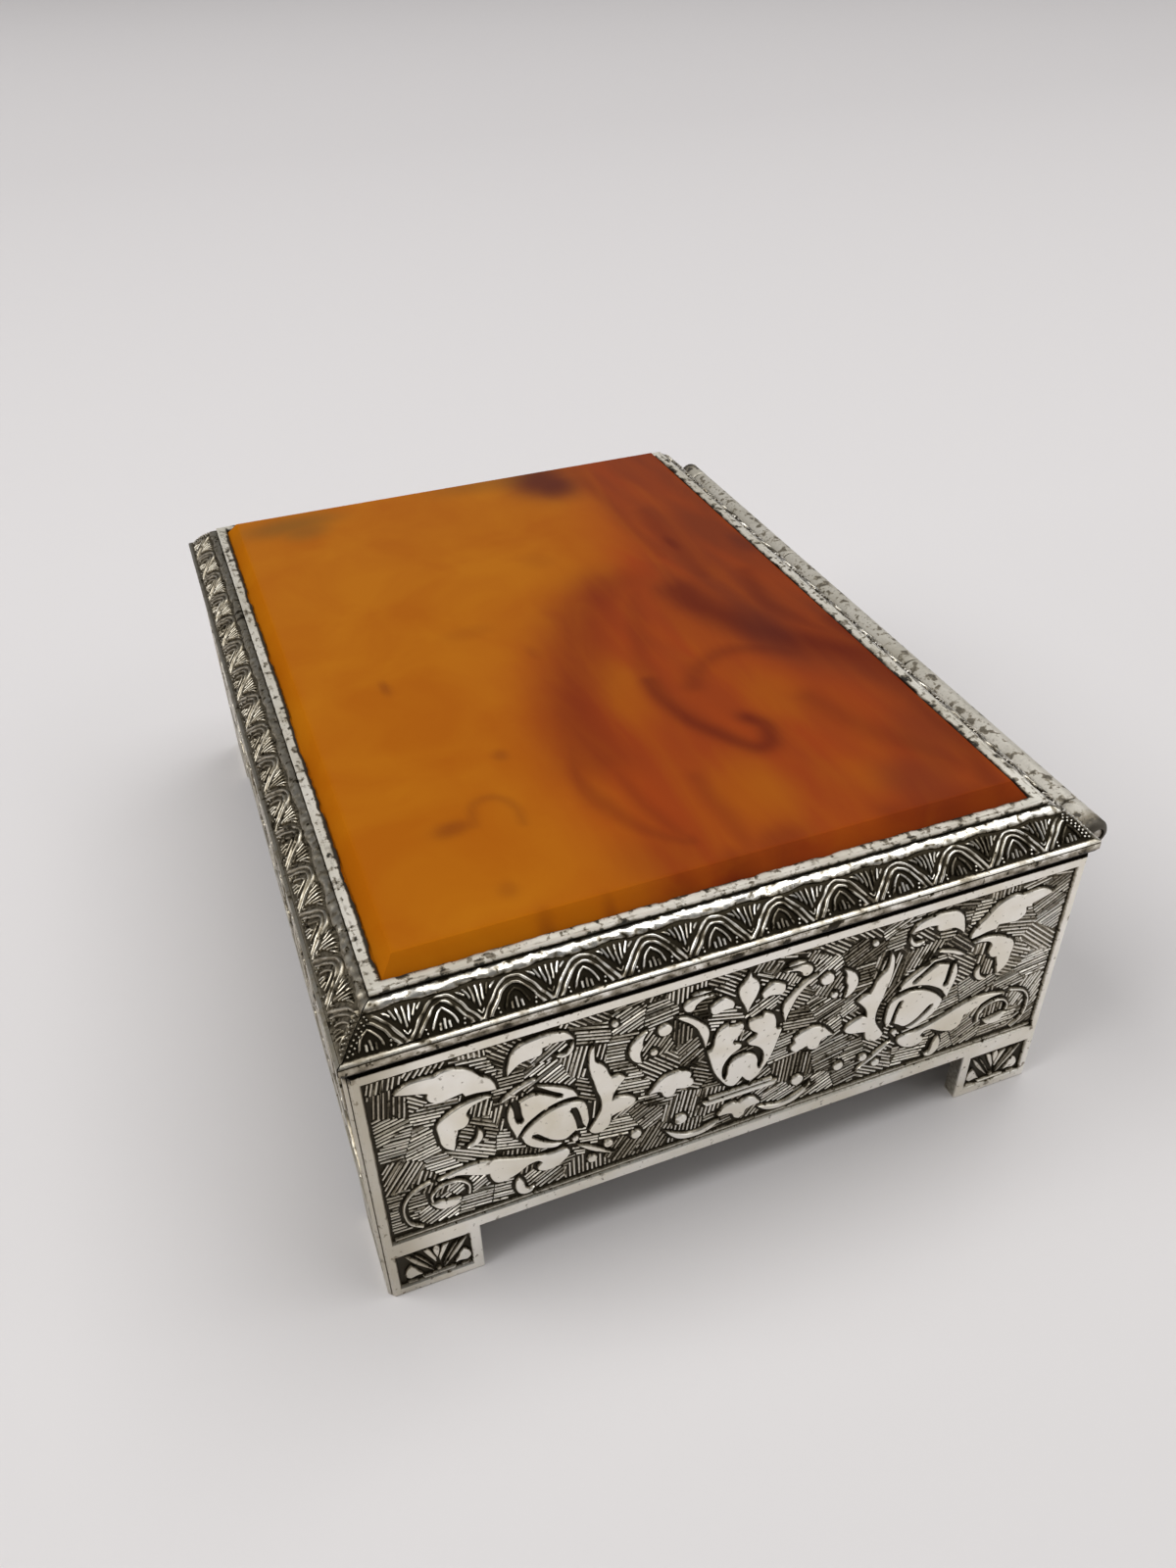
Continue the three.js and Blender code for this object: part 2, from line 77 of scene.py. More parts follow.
MIDDLE_Y = (front_low.y + back_high.y) / 2
BODY_OUT = {"front": MIDDLE_Y - front_low.y, "right": right_high.x}
BODY_OUT.update(back=BODY_OUT["front"], left=BODY_OUT["right"])
LID_OUT = {"front": MIDDLE_Y - lid_front_low.y, "right": band_high.x}
LID_OUT.update(back=LID_OUT["front"], left=LID_OUT["right"])
PANEL_TOP = right_high.z
LID_BOTTOM = band_low.z
SEAT_LEVEL = band_high.z
print("body reaches", BODY_OUT, "lid reaches", LID_OUT)

# %% [markdown]
# ## The camera
#
# The photograph looks down on a corner of the box from close by. A camera can be placed by hand, but
# the box is a known block, so its corners give the place, the turn and the lens together. The lens is
# short, which is why the near end looks so large.

# %% Camera
CAMERA_PLACE = Vector((156.853, -55.868, 149.66))
CAMERA_AZIMUTH = math.radians(69.69)
CAMERA_DOWN = math.radians(37.567)
CAMERA_ROLL = math.radians(-1.298)
LENS = 28.08
NEAREST_SEEN = 0.005

lens = bpy.data.cameras.new("photo_camera")
lens.lens = LENS
lens.clip_start = NEAREST_SEEN
camera = bpy.data.objects.new("photo_camera", lens)
bpy.context.scene.collection.objects.link(camera)
look = Vector((
    -math.sin(CAMERA_AZIMUTH) * math.cos(CAMERA_DOWN),
    math.cos(CAMERA_AZIMUTH) * math.cos(CAMERA_DOWN),
    -math.sin(CAMERA_DOWN),
))
camera.location = CAMERA_PLACE * MM
camera.rotation_mode = "QUATERNION"
camera.rotation_quaternion = look.to_track_quat("-Z", "Y") @ Quaternion((0, 0, 1), CAMERA_ROLL)
bpy.context.scene.camera = camera
print("camera at", tuple(camera.location))

# %% [markdown]
# ## Building materials from nodes
#
# Each finish below is a small tree of nodes that ends in the Principled shader. Wiring nodes one by one
# takes many lines, so small helpers do it: one opens a material, two add a node and fill its sockets, one
# makes noise at a size given in millimetres, and the others map, add and blend what it gives.

# %% Material helpers
def open_material(name):
    """A material with its node tree and its Principled shader."""
    material = bpy.data.materials.new(name)
    material.use_nodes = True
    tree = material.node_tree
    return material, tree, tree.nodes["Principled BSDF"]


def wire(tree, node, sockets):
    """Sets sockets to plain values, or links them where the value is another node's output."""
    for key, value in sockets.items():
        if isinstance(value, bpy.types.NodeSocket):
            tree.links.new(value, node.inputs[key])
        else:
            node.inputs[key].default_value = value


def add_node(tree, kind, sockets=None, **settings):
    """A new node with its settings and with its sockets filled."""
    made = tree.nodes.new(kind)
    for key, value in settings.items():
        setattr(made, key, value)
    wire(tree, made, sockets or {})
    return made


def place_on(tree, stretch=(1, 1, 1)):
    """Coordinates in the box's own frame, stretched along an axis where a pattern has a direction."""
    where = add_node(tree, "ShaderNodeTexCoord").outputs["Object"]
    return add_node(tree, "ShaderNodeMapping", {"Vector": where, "Scale": stretch}).outputs["Vector"]


def grain(tree, size_mm, detail=3.0, stretch=(1, 1, 1), distortion=0.0):
    """Noise from 0 to 1 whose blotches are about that many millimetres across."""
    sockets = {"Vector": place_on(tree, stretch), "Scale": 1 / (size_mm * MM), "Detail": detail}
    sockets["Distortion"] = distortion
    return add_node(tree, "ShaderNodeTexNoise", sockets).outputs["Fac"]


def span(tree, value, low, high, start=0.0, end=1.0):
    """Maps low..high to start..end and holds it there."""
    sockets = {"Value": value, "From Min": low, "From Max": high, "To Min": start, "To Max": end}
    return add_node(tree, "ShaderNodeMapRange", sockets).outputs["Result"]


def combine(tree, first, second, operation="ADD"):
    """The sum of two values, or what another operation gives."""
    return add_node(tree, "ShaderNodeMath", {0: first, 1: second}, operation=operation).outputs[0]


def blend_colours(tree, share, first, second):
    """From the first colour to the second as the share goes from 0 to 1."""
    made = add_node(tree, "ShaderNodeMix", {0: share, 6: first, 7: second}, data_type="RGBA")
    return made.outputs[2]


def relief_bump(tree, height, distance_mm, strength=0.5):
    """A normal from a height pattern, for what is too fine to model."""
    sockets = {"Height": height, "Distance": distance_mm * MM, "Strength": strength}
    return add_node(tree, "ShaderNodeBump", sockets).outputs["Normal"]


# %% [markdown]
# ## Table and light
#
# The box stands on a sheet of white paper in soft room light. One lamp could do it, but its shadow would
# be hard, so two wide lamps, over the hinge and over the front, and a weaker one at the right leave only
# a faint shadow. Polished metal shows what is around it, so the room is pale low down and dim overhead
# and on the far side: the upright panels mirror the paper, and the moulding is black and white.

# %% Paper table
FLOOR_HALF = 12.0
# Painted light and shade: the paper is lightest round the box, darker towards the camera and darker still
# far off.
PAPER_NEAR_SHADED = (0.72, 0.697, 0.692, 1)
PAPER_LIT_MIDDLE = (0.765, 0.74, 0.738, 1)
PAPER_FAR_SHADED = (0.69, 0.665, 0.664, 1)


def paper_finish():
    """Faint fibres, and painted light: the paper's colour is lightest round the box, with painted shade
    nearer and further off.
    """
    material, tree, shader = open_material("white_paper")
    fibre = grain(tree, 0.6, detail=4)
    across = add_node(tree, "ShaderNodeSeparateXYZ", {0: place_on(tree)}).outputs["X"]
    # Painted light: from the lit middle round the box to painted shade near and far.
    tone = blend_colours(tree, span(tree, across, -0.1, 0.2), PAPER_LIT_MIDDLE, PAPER_NEAR_SHADED)
    tone = blend_colours(tree, span(tree, across, -0.7, -0.1), PAPER_FAR_SHADED, tone)
    wire(tree, shader, {
        "Base Color": tone,
        "Roughness": 0.75,
        "Specular IOR Level": 0.15,
        "Normal": relief_bump(tree, fibre, 0.02, 0.3),
    })
    return material


floor_mesh = bpy.data.meshes.new("paper_table")
floor_corners = [(-FLOOR_HALF, -FLOOR_HALF, 0), (FLOOR_HALF, -FLOOR_HALF, 0)]
floor_corners += [(FLOOR_HALF, FLOOR_HALF, 0), (-FLOOR_HALF, FLOOR_HALF, 0)]
floor_mesh.from_pydata(floor_corners, [], [(0, 1, 2, 3)])
floor = bpy.data.objects.new("paper_table", floor_mesh)
bpy.context.scene.collection.objects.link(floor)
floor_mesh.materials.append(paper_finish())
print("table", 2 * FLOOR_HALF, "m wide")

# %% Lamps and sky
def add_lamp(name, place, aim, size, power):
    """A square soft lamp, in metres, turned towards a point."""
    light = bpy.data.lights.new(name, "AREA")
    light.size = size
    light.energy = power
    lamp = bpy.data.objects.new(name, light)
    lamp.location = place
    lamp.rotation_mode = "QUATERNION"
    lamp.rotation_quaternion = (Vector(aim) - Vector(place)).to_track_quat("-Z", "Y")
    bpy.context.scene.collection.objects.link(lamp)


BOX_MIDDLE = (0, 0, 0.03)
add_lamp("ceiling_lamp", (-0.3, 1.3, 3.3), BOX_MIDDLE, size=2.5, power=58)
add_lamp("side_lamp", (-0.2, -2.2, 2.6), BOX_MIDDLE, size=2.5, power=75)
add_lamp("right_lamp", (1.5, 2.2, 1.7), BOX_MIDDLE, size=2.0, power=13)

ROOM_DIM = (0.12, 0.12, 0.122, 1)
ROOM_PALE = (0.54, 0.525, 0.51, 1)
world = bpy.data.worlds.new("soft_room")
bpy.context.scene.world = world
world.use_nodes = True
room = world.node_tree
way = add_node(room, "ShaderNodeTexCoord").outputs["Generated"]
facing = add_node(room, "ShaderNodeSeparateXYZ", {0: way}).outputs
low_down = span(room, facing["Z"], 0.0, 0.42, 1.0, 0.0)
near_side = span(room, facing["X"], -0.8, 0.0, 0.4, 1.0)
room_tone = blend_colours(room, combine(room, low_down, near_side, "MULTIPLY"), ROOM_DIM, ROOM_PALE)
wire(room, room.nodes["Background"], {"Color": room_tone, "Strength": 1.0})
bpy.context.scene.view_settings.view_transform = "Standard"

# %% [markdown]
# ## Smooth outlines from a few points
#
# The leaves on the panels are hand drawn, so each outline is a list of the points that its shape needs.
# A Bezier curve object could draw it, but later steps need bare points, so each edge of a leaf is run
# through its points with Bezier handles worked out from the neighbours. Edges meet in sharp tips.

# %% Outline helpers
STEP = 0.38
BAND_STEP = 0.8


def smooth_edge(points, step=STEP):
    """Points along a smooth line through the given ones; the last is left to the next edge."""
    known = [Vector(p) for p in points]
    known = [2 * known[0] - known[1], *known, 2 * known[-1] - known[-2]]
    line = []
    for before, start, end, after in zip(known, known[1:], known[2:], known[3:]):
        run = (end - start).length
        leave = (end - before) * (run / ((start - before).length + run))
        arrive = (after - start) * (run / (run + (after - end).length))
        count = max(1, round(run / step))
        handles = start, start + leave / 3, end - arrive / 3, end
        curve = interpolate_bezier(*(p.to_3d() for p in handles), count + 1)
        line += [p.to_2d() for p in curve[:-1]]
    return line


def leaf(*edges):
    """A closed outline whose edges meet in tips, anticlockwise."""
    outline = []
    for edge, following in zip(edges, (*edges[1:], edges[0])):
        outline += smooth_edge([*edge, following[0]])
    return anticlockwise(outline)


def disc(x, z, radius):
    """A round outline."""
    count = max(8, round(2 * math.pi * radius / STEP))
    turns = [2 * math.pi * i / count for i in range(count)]
    return [Vector((x + radius * math.cos(a), z + radius * math.sin(a))) for a in turns]


def anticlockwise(outline):
    """The same outline, turned round if its area comes out negative."""
    area = sum(a.cross(b) for a, b in zip(outline, outline[1:] + outline[:1]))
    return outline if area > 0 else outline[::-1]


def band(points, width):
    """A thin strip along a curve."""
    line = smooth_edge(points, BAND_STEP) + [Vector(points[-1])]
    ways = [(b - a).normalized() for a, b in zip(line[:1] + line, line[1:] + line[-1:])]
    sides = [Vector((-way.y, way.x)) * width / 2 for way in ways]
    right = [p - s for p, s in zip(line, sides)]
    return leaf([p + s for p, s in zip(line, sides)], right[::-1])


def mirrored(outline):
    """The same shape on the other side of the middle line."""
    return [Vector((-p.x, p.y)) for p in reversed(outline)]


def shifted(outline, x, z=0.0):
    """The same shape, moved."""
    return [p + Vector((x, z)) for p in outline]


def both_halves(half):
    """A closed outline from its left half, which starts and ends on the middle line."""
    right = [(-x, z) for x, z in reversed(half)][1:-1]
    return leaf(half[:-1], [half[-1], *right])


# %% [markdown]
# ## Working a sheet in relief
#
# Chased metal is a flat sheet with raised leaves and fine ridges. A height map on a dense grid would
# need millions of faces to keep the leaf edges crisp. Here the drawing itself becomes the mesh: every
# outline is laid down as lines with a height, and a constrained Delaunay triangulation fills between
# them, so each edge is exact. A second value, the polish, goes from dark recess to rubbed metal.

# %% The chased sheet
class ChasedSheet:
    """Points in a plane with a height and a polish, and the lines between them that must stay."""

    def __init__(self):
        self.points, self.heights, self.polish, self.lines = [], [], [], []

    def add_line(self, points, height, polish, closed=False):
        """Adds a line; its height and its polish are one value or one for each point."""
        first = len(self.points)
        count = len(points)
        self.points += points
        self.heights += list(height) if isinstance(height, (list, tuple)) else [height] * count
        self.polish += list(polish) if isinstance(polish, (list, tuple)) else [polish] * count
        ends = range(count if closed else count - 1)
        self.lines += [(first + i, first + (i + 1) % count) for i in ends]
        return list(range(first, first + count))

    def fill(self):
        """Triangles between the lines, and where each given point went."""
        made = delaunay_2d_cdt(self.points, self.lines, [], 1, 1e-5)
        places, _, faces, origins = made[:4]
        went = {given: i for i, group in enumerate(origins) for given in group}
        heights = [self.heights[group[0]] if group else None for group in origins]
        polish = [self.polish[group[0]] if group else None for group in origins]
        near = {i: set() for i, group in enumerate(origins) if not group}
        for face in faces:
            for i in face:
                if i in near:
                    near[i].update(j for j in face if heights[j] is not None)
        for i, ring in near.items():
            heights[i] = sum(heights[j] for j in ring) / max(1, len(ring))
            polish[i] = sum(polish[j] for j in ring) / max(1, len(ring))
        return places, heights, polish, faces, went


# %% Raised shapes on a sheet
SHOULDER, SHOULDER_DROP, SHOULDER_POLISH = 0.1, 0.2, 0.5
NARROW_SHARE = 0.33
WALL_RUN = 0.12
GROUND_POLISH = 0.06
BLUNTEST = 0.6


def edge_normals(outline):
    """For each point, the outward direction between its two edges, longer at a corner."""
    normals = []
    for before, here, after in zip(outline[-1:] + outline[:-1], outline, outline[1:] + outline[:1]):
        first, second = (here - before).normalized(), (after - here).normalized()
        mean = Vector((first.y + second.y, -first.x - second.x))
        if mean.length < 1e-3:
            mean = Vector((first.x - second.x, first.y - second.y))
        mean.normalize()
        normals.append(mean / max(BLUNTEST, mean.dot(Vector((first.y, -first.x)))))
    return normals


def room_inside(outline, normals):
    """How far each point is from the other side of its shape, going straight in."""
    count = len(outline)
    rooms = []
    for i, (here, normal) in enumerate(zip(outline, normals)):
        nearest = math.inf
        way = -normal.normalized()
        for j in range(count):
            if j == i or (j + 1) % count == i:
                continue
            start, edge = outline[j], outline[(j + 1) % count] - outline[j]
            facing = way.cross(edge)
            if abs(facing) < 1e-9:
                continue
            along = (start - here).cross(edge) / facing
            across = (start - here).cross(way) / facing
            if along > 1e-6 and 0 <= across <= 1:
                nearest = min(nearest, along)
        rooms.append(nearest)
    return rooms


def raise_shape(sheet, outline, ground, top=0.0, polish=1.0):
    """A raised island: a foot line on the ground, a shoulder and a flat top with a softened edge."""
    normals = edge_normals(outline)
    rooms = room_inside(outline, normals)
    inset = [min(SHOULDER, NARROW_SHARE * room) for room in rooms]
    foot = [p + n * WALL_RUN for p, n in zip(outline, normals)]
    crown = [p - n.normalized() * d for p, n, d in zip(outline, normals, inset)]
    sheet.add_line(foot, ground, GROUND_POLISH, closed=True)
    edge = top - SHOULDER_DROP * (top - ground)
    sheet.add_line(outline, edge, SHOULDER_POLISH * polish, closed=True)
    sheet.add_line(crown, top, polish, closed=True)


# %% Ridges and beads
RIDGE_FLANK, RIDGE_FALL, FLANK_POLISH = 0.55, 0.27, 0.8
# Share of the radius, share of the rise, polish
BEAD_RINGS = ((1.0, 0.0, 0.05), (0.85, 0.5, 0.4), (0.62, 0.8, 1.0), (0.3, 0.96, 1.0))


def raise_ridge(sheet, line, half_width, ground, crest, polish):
    """A ridge along a line, pointed at both ends, with a rounded back; the crest is a list of heights."""
    between = line[1:-1]
    ways = [(after - before).normalized() for before, after in zip(line, line[2:])]
    sides = [Vector((way.y, -way.x)) * half_width for way in ways]
    right = [p + s for p, s in zip(between, sides)]
    left = [p - s for p, s in zip(between, sides)]
    sheet.add_line([line[0], *right, line[-1], *reversed(left)], ground, GROUND_POLISH, closed=True)
    flank = [level - RIDGE_FALL * half_width for level in crest]
    inner = [p + s * RIDGE_FLANK for p, s in zip(between, sides)]
    inner += [p - s * RIDGE_FLANK for p, s in zip(between, sides)][::-1]
    sheet.add_line(inner, flank + flank[::-1], FLANK_POLISH * polish, closed=True)
    sheet.add_line(between, crest, polish)


def raise_bead(sheet, place, radius, ground, top):
    """A small round bead: six-sided rings that close over its top."""
    ways = [Vector((math.cos(i * math.pi / 3), math.sin(i * math.pi / 3))) for i in range(6)]
    for share, rise, polish in BEAD_RINGS:
        ring = [place + way * (radius * share) for way in ways]
        sheet.add_line(ring, ground + (top - ground) * rise, polish, closed=True)
    sheet.add_line([place], top, 1.0)


# %% [markdown]
# ## Leaves of the end panel
#
# Both halves of a panel mirror each other: a bud between curling leaves, a small trefoil, and in the
# middle a vase of two lobed leaves under a pointed one. The outlines follow the photographed panel, in
# millimetres from its middle line and from the table, and only the left half is drawn.

# %% Bud and its leaves
def bud_group():
    """A bud between curling leaves, with the leaves, ring and stem under it."""
    upper_leaf = leaf(
        [(-44.5, 39.0), (-44.1, 39.5), (-43.2, 40.05), (-42.3, 40.25), (-40.7, 40.2)],
        [(-39.8, 40.05), (-38.9, 40.45), (-38.2, 40.5), (-37.1, 40.2), (-35.8, 39.45), (-34.4, 37.75),
         (-33.4, 36.8), (-32.8, 35.5)],
        [(-32.7, 34.7), (-33.7, 34.8), (-35.1, 35.1)],
        [(-36.5, 35.15)],
        [(-36.8, 35.85), (-38.9, 35.5), (-39.8, 35.5), (-40.6, 36.0), (-40.9, 36.75)],
        [(-40.7, 37.55), (-41.4, 37.85), (-42.7, 38.3), (-43.7, 38.65)],
    )
    curling_leaf = leaf(
        [(-31.3, 36.3), (-31.25, 37.3), (-31.0, 38.4), (-30.8, 39.3), (-30.35, 40.1), (-29.55, 40.8),
         (-28.3, 41.1), (-26.5, 41.25), (-24.5, 40.9), (-23.6, 40.4)],
        [(-22.9, 39.2), (-23.4, 39.4), (-24.3, 39.45), (-25.4, 39.55)],
        [(-26.85, 39.3), (-26.85, 38.6), (-27.2, 38.15), (-28.3, 38.05), (-29.5, 37.9), (-30.35, 37.3)],
    )
    curl = leaf(
        [(-22.95, 38.7), (-23.0, 37.5), (-23.6, 36.7), (-24.5, 36.5)],
        [(-25.2, 37.1), (-24.7, 37.05), (-24.0, 37.1), (-23.45, 37.7)],
    )
    side_leaf = leaf(
        [(-33.4, 33.6), (-34.2, 33.95), (-35.5, 33.95), (-37.1, 33.6), (-38.7, 32.8), (-40.0, 31.7),
         (-40.3, 30.8), (-40.15, 29.2), (-40.05, 27.9), (-39.6, 26.85)],
        [(-38.6, 25.9), (-38.3, 27.0), (-38.2, 27.9), (-37.9, 28.8)],
        [(-37.8, 29.55), (-37.1, 29.6), (-36.55, 30.1), (-36.3, 31.0), (-36.6, 31.8), (-36.0, 32.9),
         (-34.9, 33.35)],
    )
    side_curl = leaf(
        [(-37.0, 25.6), (-35.8, 25.7), (-35.0, 26.5), (-34.9, 27.6)],
        [(-35.4, 28.5), (-35.5, 27.5), (-35.75, 26.7), (-36.2, 26.15)],
    )
    bud_top = leaf(
        [(-31.2, 30.8), (-31.6, 29.5), (-31.7, 28.3), (-31.5, 27.0), (-31.1, 25.6)],
        [(-30.8, 24.3), (-30.25, 25.25), (-29.6, 26.3), (-28.45, 27.3), (-27.2, 28.1), (-25.75, 28.65),
         (-24.3, 28.9)],
        [(-22.7, 28.7), (-23.0, 29.5), (-23.6, 30.3), (-24.85, 31.2), (-26.65, 32.25)],
        [(-27.75, 32.8), (-26.85, 31.9), (-25.75, 30.9), (-24.6, 29.9), (-24.75, 29.25), (-25.2, 29.35),
         (-25.75, 29.85), (-27.2, 30.9), (-28.1, 31.45), (-29.0, 31.35)],
        [(-30.1, 30.9), (-30.0, 29.75), (-29.9, 28.3), (-29.7, 27.1), (-30.05, 26.75), (-30.55, 27.0),
         (-30.8, 28.3), (-30.9, 29.75)],
    )
    bud_base = leaf(
        [(-30.15, 24.15), (-29.55, 25.05), (-28.45, 26.15), (-27.2, 27.05), (-25.75, 27.65), (-24.3, 27.85),
         (-22.9, 27.6), (-22.0, 27.1), (-21.55, 26.15), (-21.4, 24.7), (-21.35, 23.25)],
        [(-21.7, 22.1), (-22.15, 22.9), (-22.4, 24.35), (-22.7, 25.75), (-23.05, 26.65), (-23.55, 26.75),
         (-23.75, 26.3), (-23.4, 25.25), (-23.05, 23.8)],
        [(-22.9, 22.35), (-23.6, 21.8), (-24.5, 21.15), (-25.4, 21.3), (-26.5, 22.0), (-27.4, 23.0),
         (-28.2, 23.9), (-28.75, 24.0), (-28.85, 23.5), (-28.1, 22.55), (-27.0, 21.55), (-25.95, 20.9)],
        [(-25.05, 20.6), (-25.6, 20.2), (-26.5, 20.3), (-27.75, 20.85), (-29.0, 21.8), (-29.8, 22.9)],
    )
    collar = leaf(
        [(-32.4, 31.9), (-31.3, 32.9), (-30.0, 33.6), (-28.6, 34.1)],
        [(-27.9, 34.1), (-28.7, 33.6), (-30.0, 33.05), (-31.2, 32.3)],
    )
    tall_leaf = leaf(
        [(-20.4, 36.8), (-20.9, 35.9), (-21.1, 34.4), (-21.1, 33.0), (-20.9, 31.5), (-20.55, 30.1),
         (-20.2, 28.3), (-19.8, 27.0), (-19.6, 25.6), (-19.7, 24.3), (-20.2, 23.1), (-20.8, 22.0)],
        [(-21.3, 21.1), (-21.0, 20.5), (-20.2, 20.1), (-19.3, 20.4), (-18.6, 21.1)],
        [(-18.3, 22.6), (-17.3, 22.9), (-16.1, 23.2), (-15.2, 23.8), (-15.0, 24.3), (-15.5, 25.1),
         (-16.6, 25.7), (-17.6, 25.9)],
        [(-18.2, 25.6), (-18.1, 26.4), (-17.7, 27.4), (-16.95, 28.5)],
        [(-16.4, 29.2), (-16.8, 29.75), (-17.3, 30.05)],
        [(-18.2, 30.0), (-18.6, 31.0), (-18.9, 32.1), (-19.65, 33.2), (-20.3, 33.9), (-20.4, 35.0)],
    )
    lower_leaf = leaf(
        [(-41.05, 21.1), (-38.9, 21.75), (-36.9, 22.05), (-34.9, 21.85), (-33.3, 21.4), (-31.7, 20.7),
         (-29.9, 20.0), (-28.5, 19.5), (-26.8, 19.1), (-24.7, 19.1), (-24.1, 18.75), (-24.0, 18.2),
         (-24.3, 17.5), (-25.2, 16.6), (-26.3, 16.05), (-27.4, 16.05), (-28.1, 16.4), (-28.4, 16.95)],
        [(-27.7, 17.85), (-28.3, 18.5), (-29.4, 18.4), (-30.8, 17.5), (-32.1, 16.9), (-33.1, 16.7),
         (-34.0, 17.1), (-34.5, 18.2)],
        [(-34.6, 19.2), (-35.3, 19.3), (-36.7, 20.0), (-37.8, 20.65), (-38.9, 21.05), (-40.1, 21.15)],
    )
    half_moon = leaf(
        [(-42.2, 16.7), (-41.5, 16.85), (-40.4, 16.6), (-39.3, 16.35)],
        [(-38.5, 16.25), (-38.9, 15.6), (-39.7, 15.2), (-40.7, 15.2), (-41.6, 15.7)],
    )
    hook = leaf(
        [(-30.9, 16.4), (-31.4, 15.3), (-31.4, 13.9), (-30.9, 12.95), (-30.1, 12.6), (-29.3, 12.85)],
        [(-29.0, 13.6), (-29.7, 13.3), (-30.15, 13.9), (-30.3, 15.0)],
    )
    ring = band(
        [(-37.4, 16.6), (-37.3, 18.2), (-38.2, 19.5), (-39.7, 19.95), (-41.2, 19.5), (-42.1, 18.2),
         (-42.05, 17.2)], 0.28,
    )
    stem = band(
        [(-41.9, 21.3), (-44.3, 20.2), (-45.5, 18.4), (-45.7, 16.2), (-45.1, 14.1), (-43.7, 12.9)], 0.3,
    )
    sprig = leaf(
        [(-22.9, 18.9), (-21.5, 17.3), (-20.0, 16.1)],
        [(-18.0, 14.9), (-19.8, 16.6), (-21.2, 17.8)],
    )
    beads = [disc(-18.75, 17.15, 0.65), disc(-21.0, 15.1, 0.65), disc(-23.2, 20.4, 0.45)]
    leaves = [upper_leaf, curling_leaf, curl, side_leaf, side_curl, bud_top, bud_base, collar, tall_leaf]
    return leaves + [lower_leaf, half_moon, ring, stem, hook, sprig, *beads]


# %% Trefoil, scrolls and the vase in the middle
def middle_group():
    """What lies between the bud and the vase."""
    trefoil = leaf(
        [(-13.2, 24.4), (-12.45, 25.4), (-11.75, 26.3), (-11.0, 26.85), (-9.95, 27.05), (-8.7, 26.95),
         (-7.8, 26.5), (-7.35, 25.8)],
        [(-7.6, 25.15), (-7.05, 24.5), (-7.05, 23.8), (-7.8, 23.35), (-8.7, 23.5)],
        [(-9.4, 23.8), (-9.6, 23.1), (-10.5, 22.6), (-11.2, 23.1), (-11.5, 24.0), (-12.1, 24.35)],
    )
    crescent = leaf(
        [(-13.55, 36.4), (-14.5, 35.85), (-15.5, 34.8), (-15.9, 33.3), (-15.6, 32.1), (-14.9, 31.3)],
        [(-14.2, 31.0), (-14.4, 32.1), (-14.45, 33.0), (-14.1, 33.9), (-14.1, 35.0)],
    )
    comma = leaf(
        [(-4.8, 39.35), (-6.9, 39.65), (-8.1, 39.4), (-8.8, 38.6), (-8.6, 37.9), (-8.0, 37.55),
         (-7.4, 37.8), (-7.2, 38.4), (-6.4, 39.0)],
    )
    bar = leaf([(-7.7, 40.2), (-6.5, 40.05)], [(-5.2, 40.2), (-6.5, 40.5)])
    lobe = leaf([(-5.1, 37.1), (-4.2, 37.75), (-3.3, 38.0), (-2.4, 37.4), (-1.9, 36.6)],
                [(-2.1, 35.8), (-3.3, 35.95), (-4.0, 35.7), (-4.7, 35.7), (-5.1, 36.2)])
    blade = leaf(
        [(-9.6, 37.1), (-8.3, 36.7), (-7.2, 35.8), (-6.2, 34.7), (-5.4, 33.6), (-5.15, 32.5), (-5.3, 31.2)],
        [(-5.6, 30.0), (-6.0, 31.6), (-6.5, 33.0), (-6.9, 34.0), (-7.9, 35.4), (-9.0, 36.4)],
    )
    long_scroll = leaf(
        [(-10.7, 15.6), (-9.9, 14.25), (-8.7, 13.1), (-6.9, 12.6), (-5.1, 12.7), (-3.9, 13.2)],
        [(-2.9, 14.2), (-4.0, 14.0), (-5.8, 13.45), (-7.6, 13.6), (-9.05, 14.35)],
    )
    rounds = [disc(-11.2, 35.6, 0.95), disc(-12.6, 32.1, 0.5), disc(-8.6, 17.1, 0.9)]
    rounds += [disc(-14.9, 17.1, 0.75), disc(-17.7, 39.4, 0.45)]
    return [trefoil, crescent, comma, bar, lobe, blade, long_scroll, *rounds]


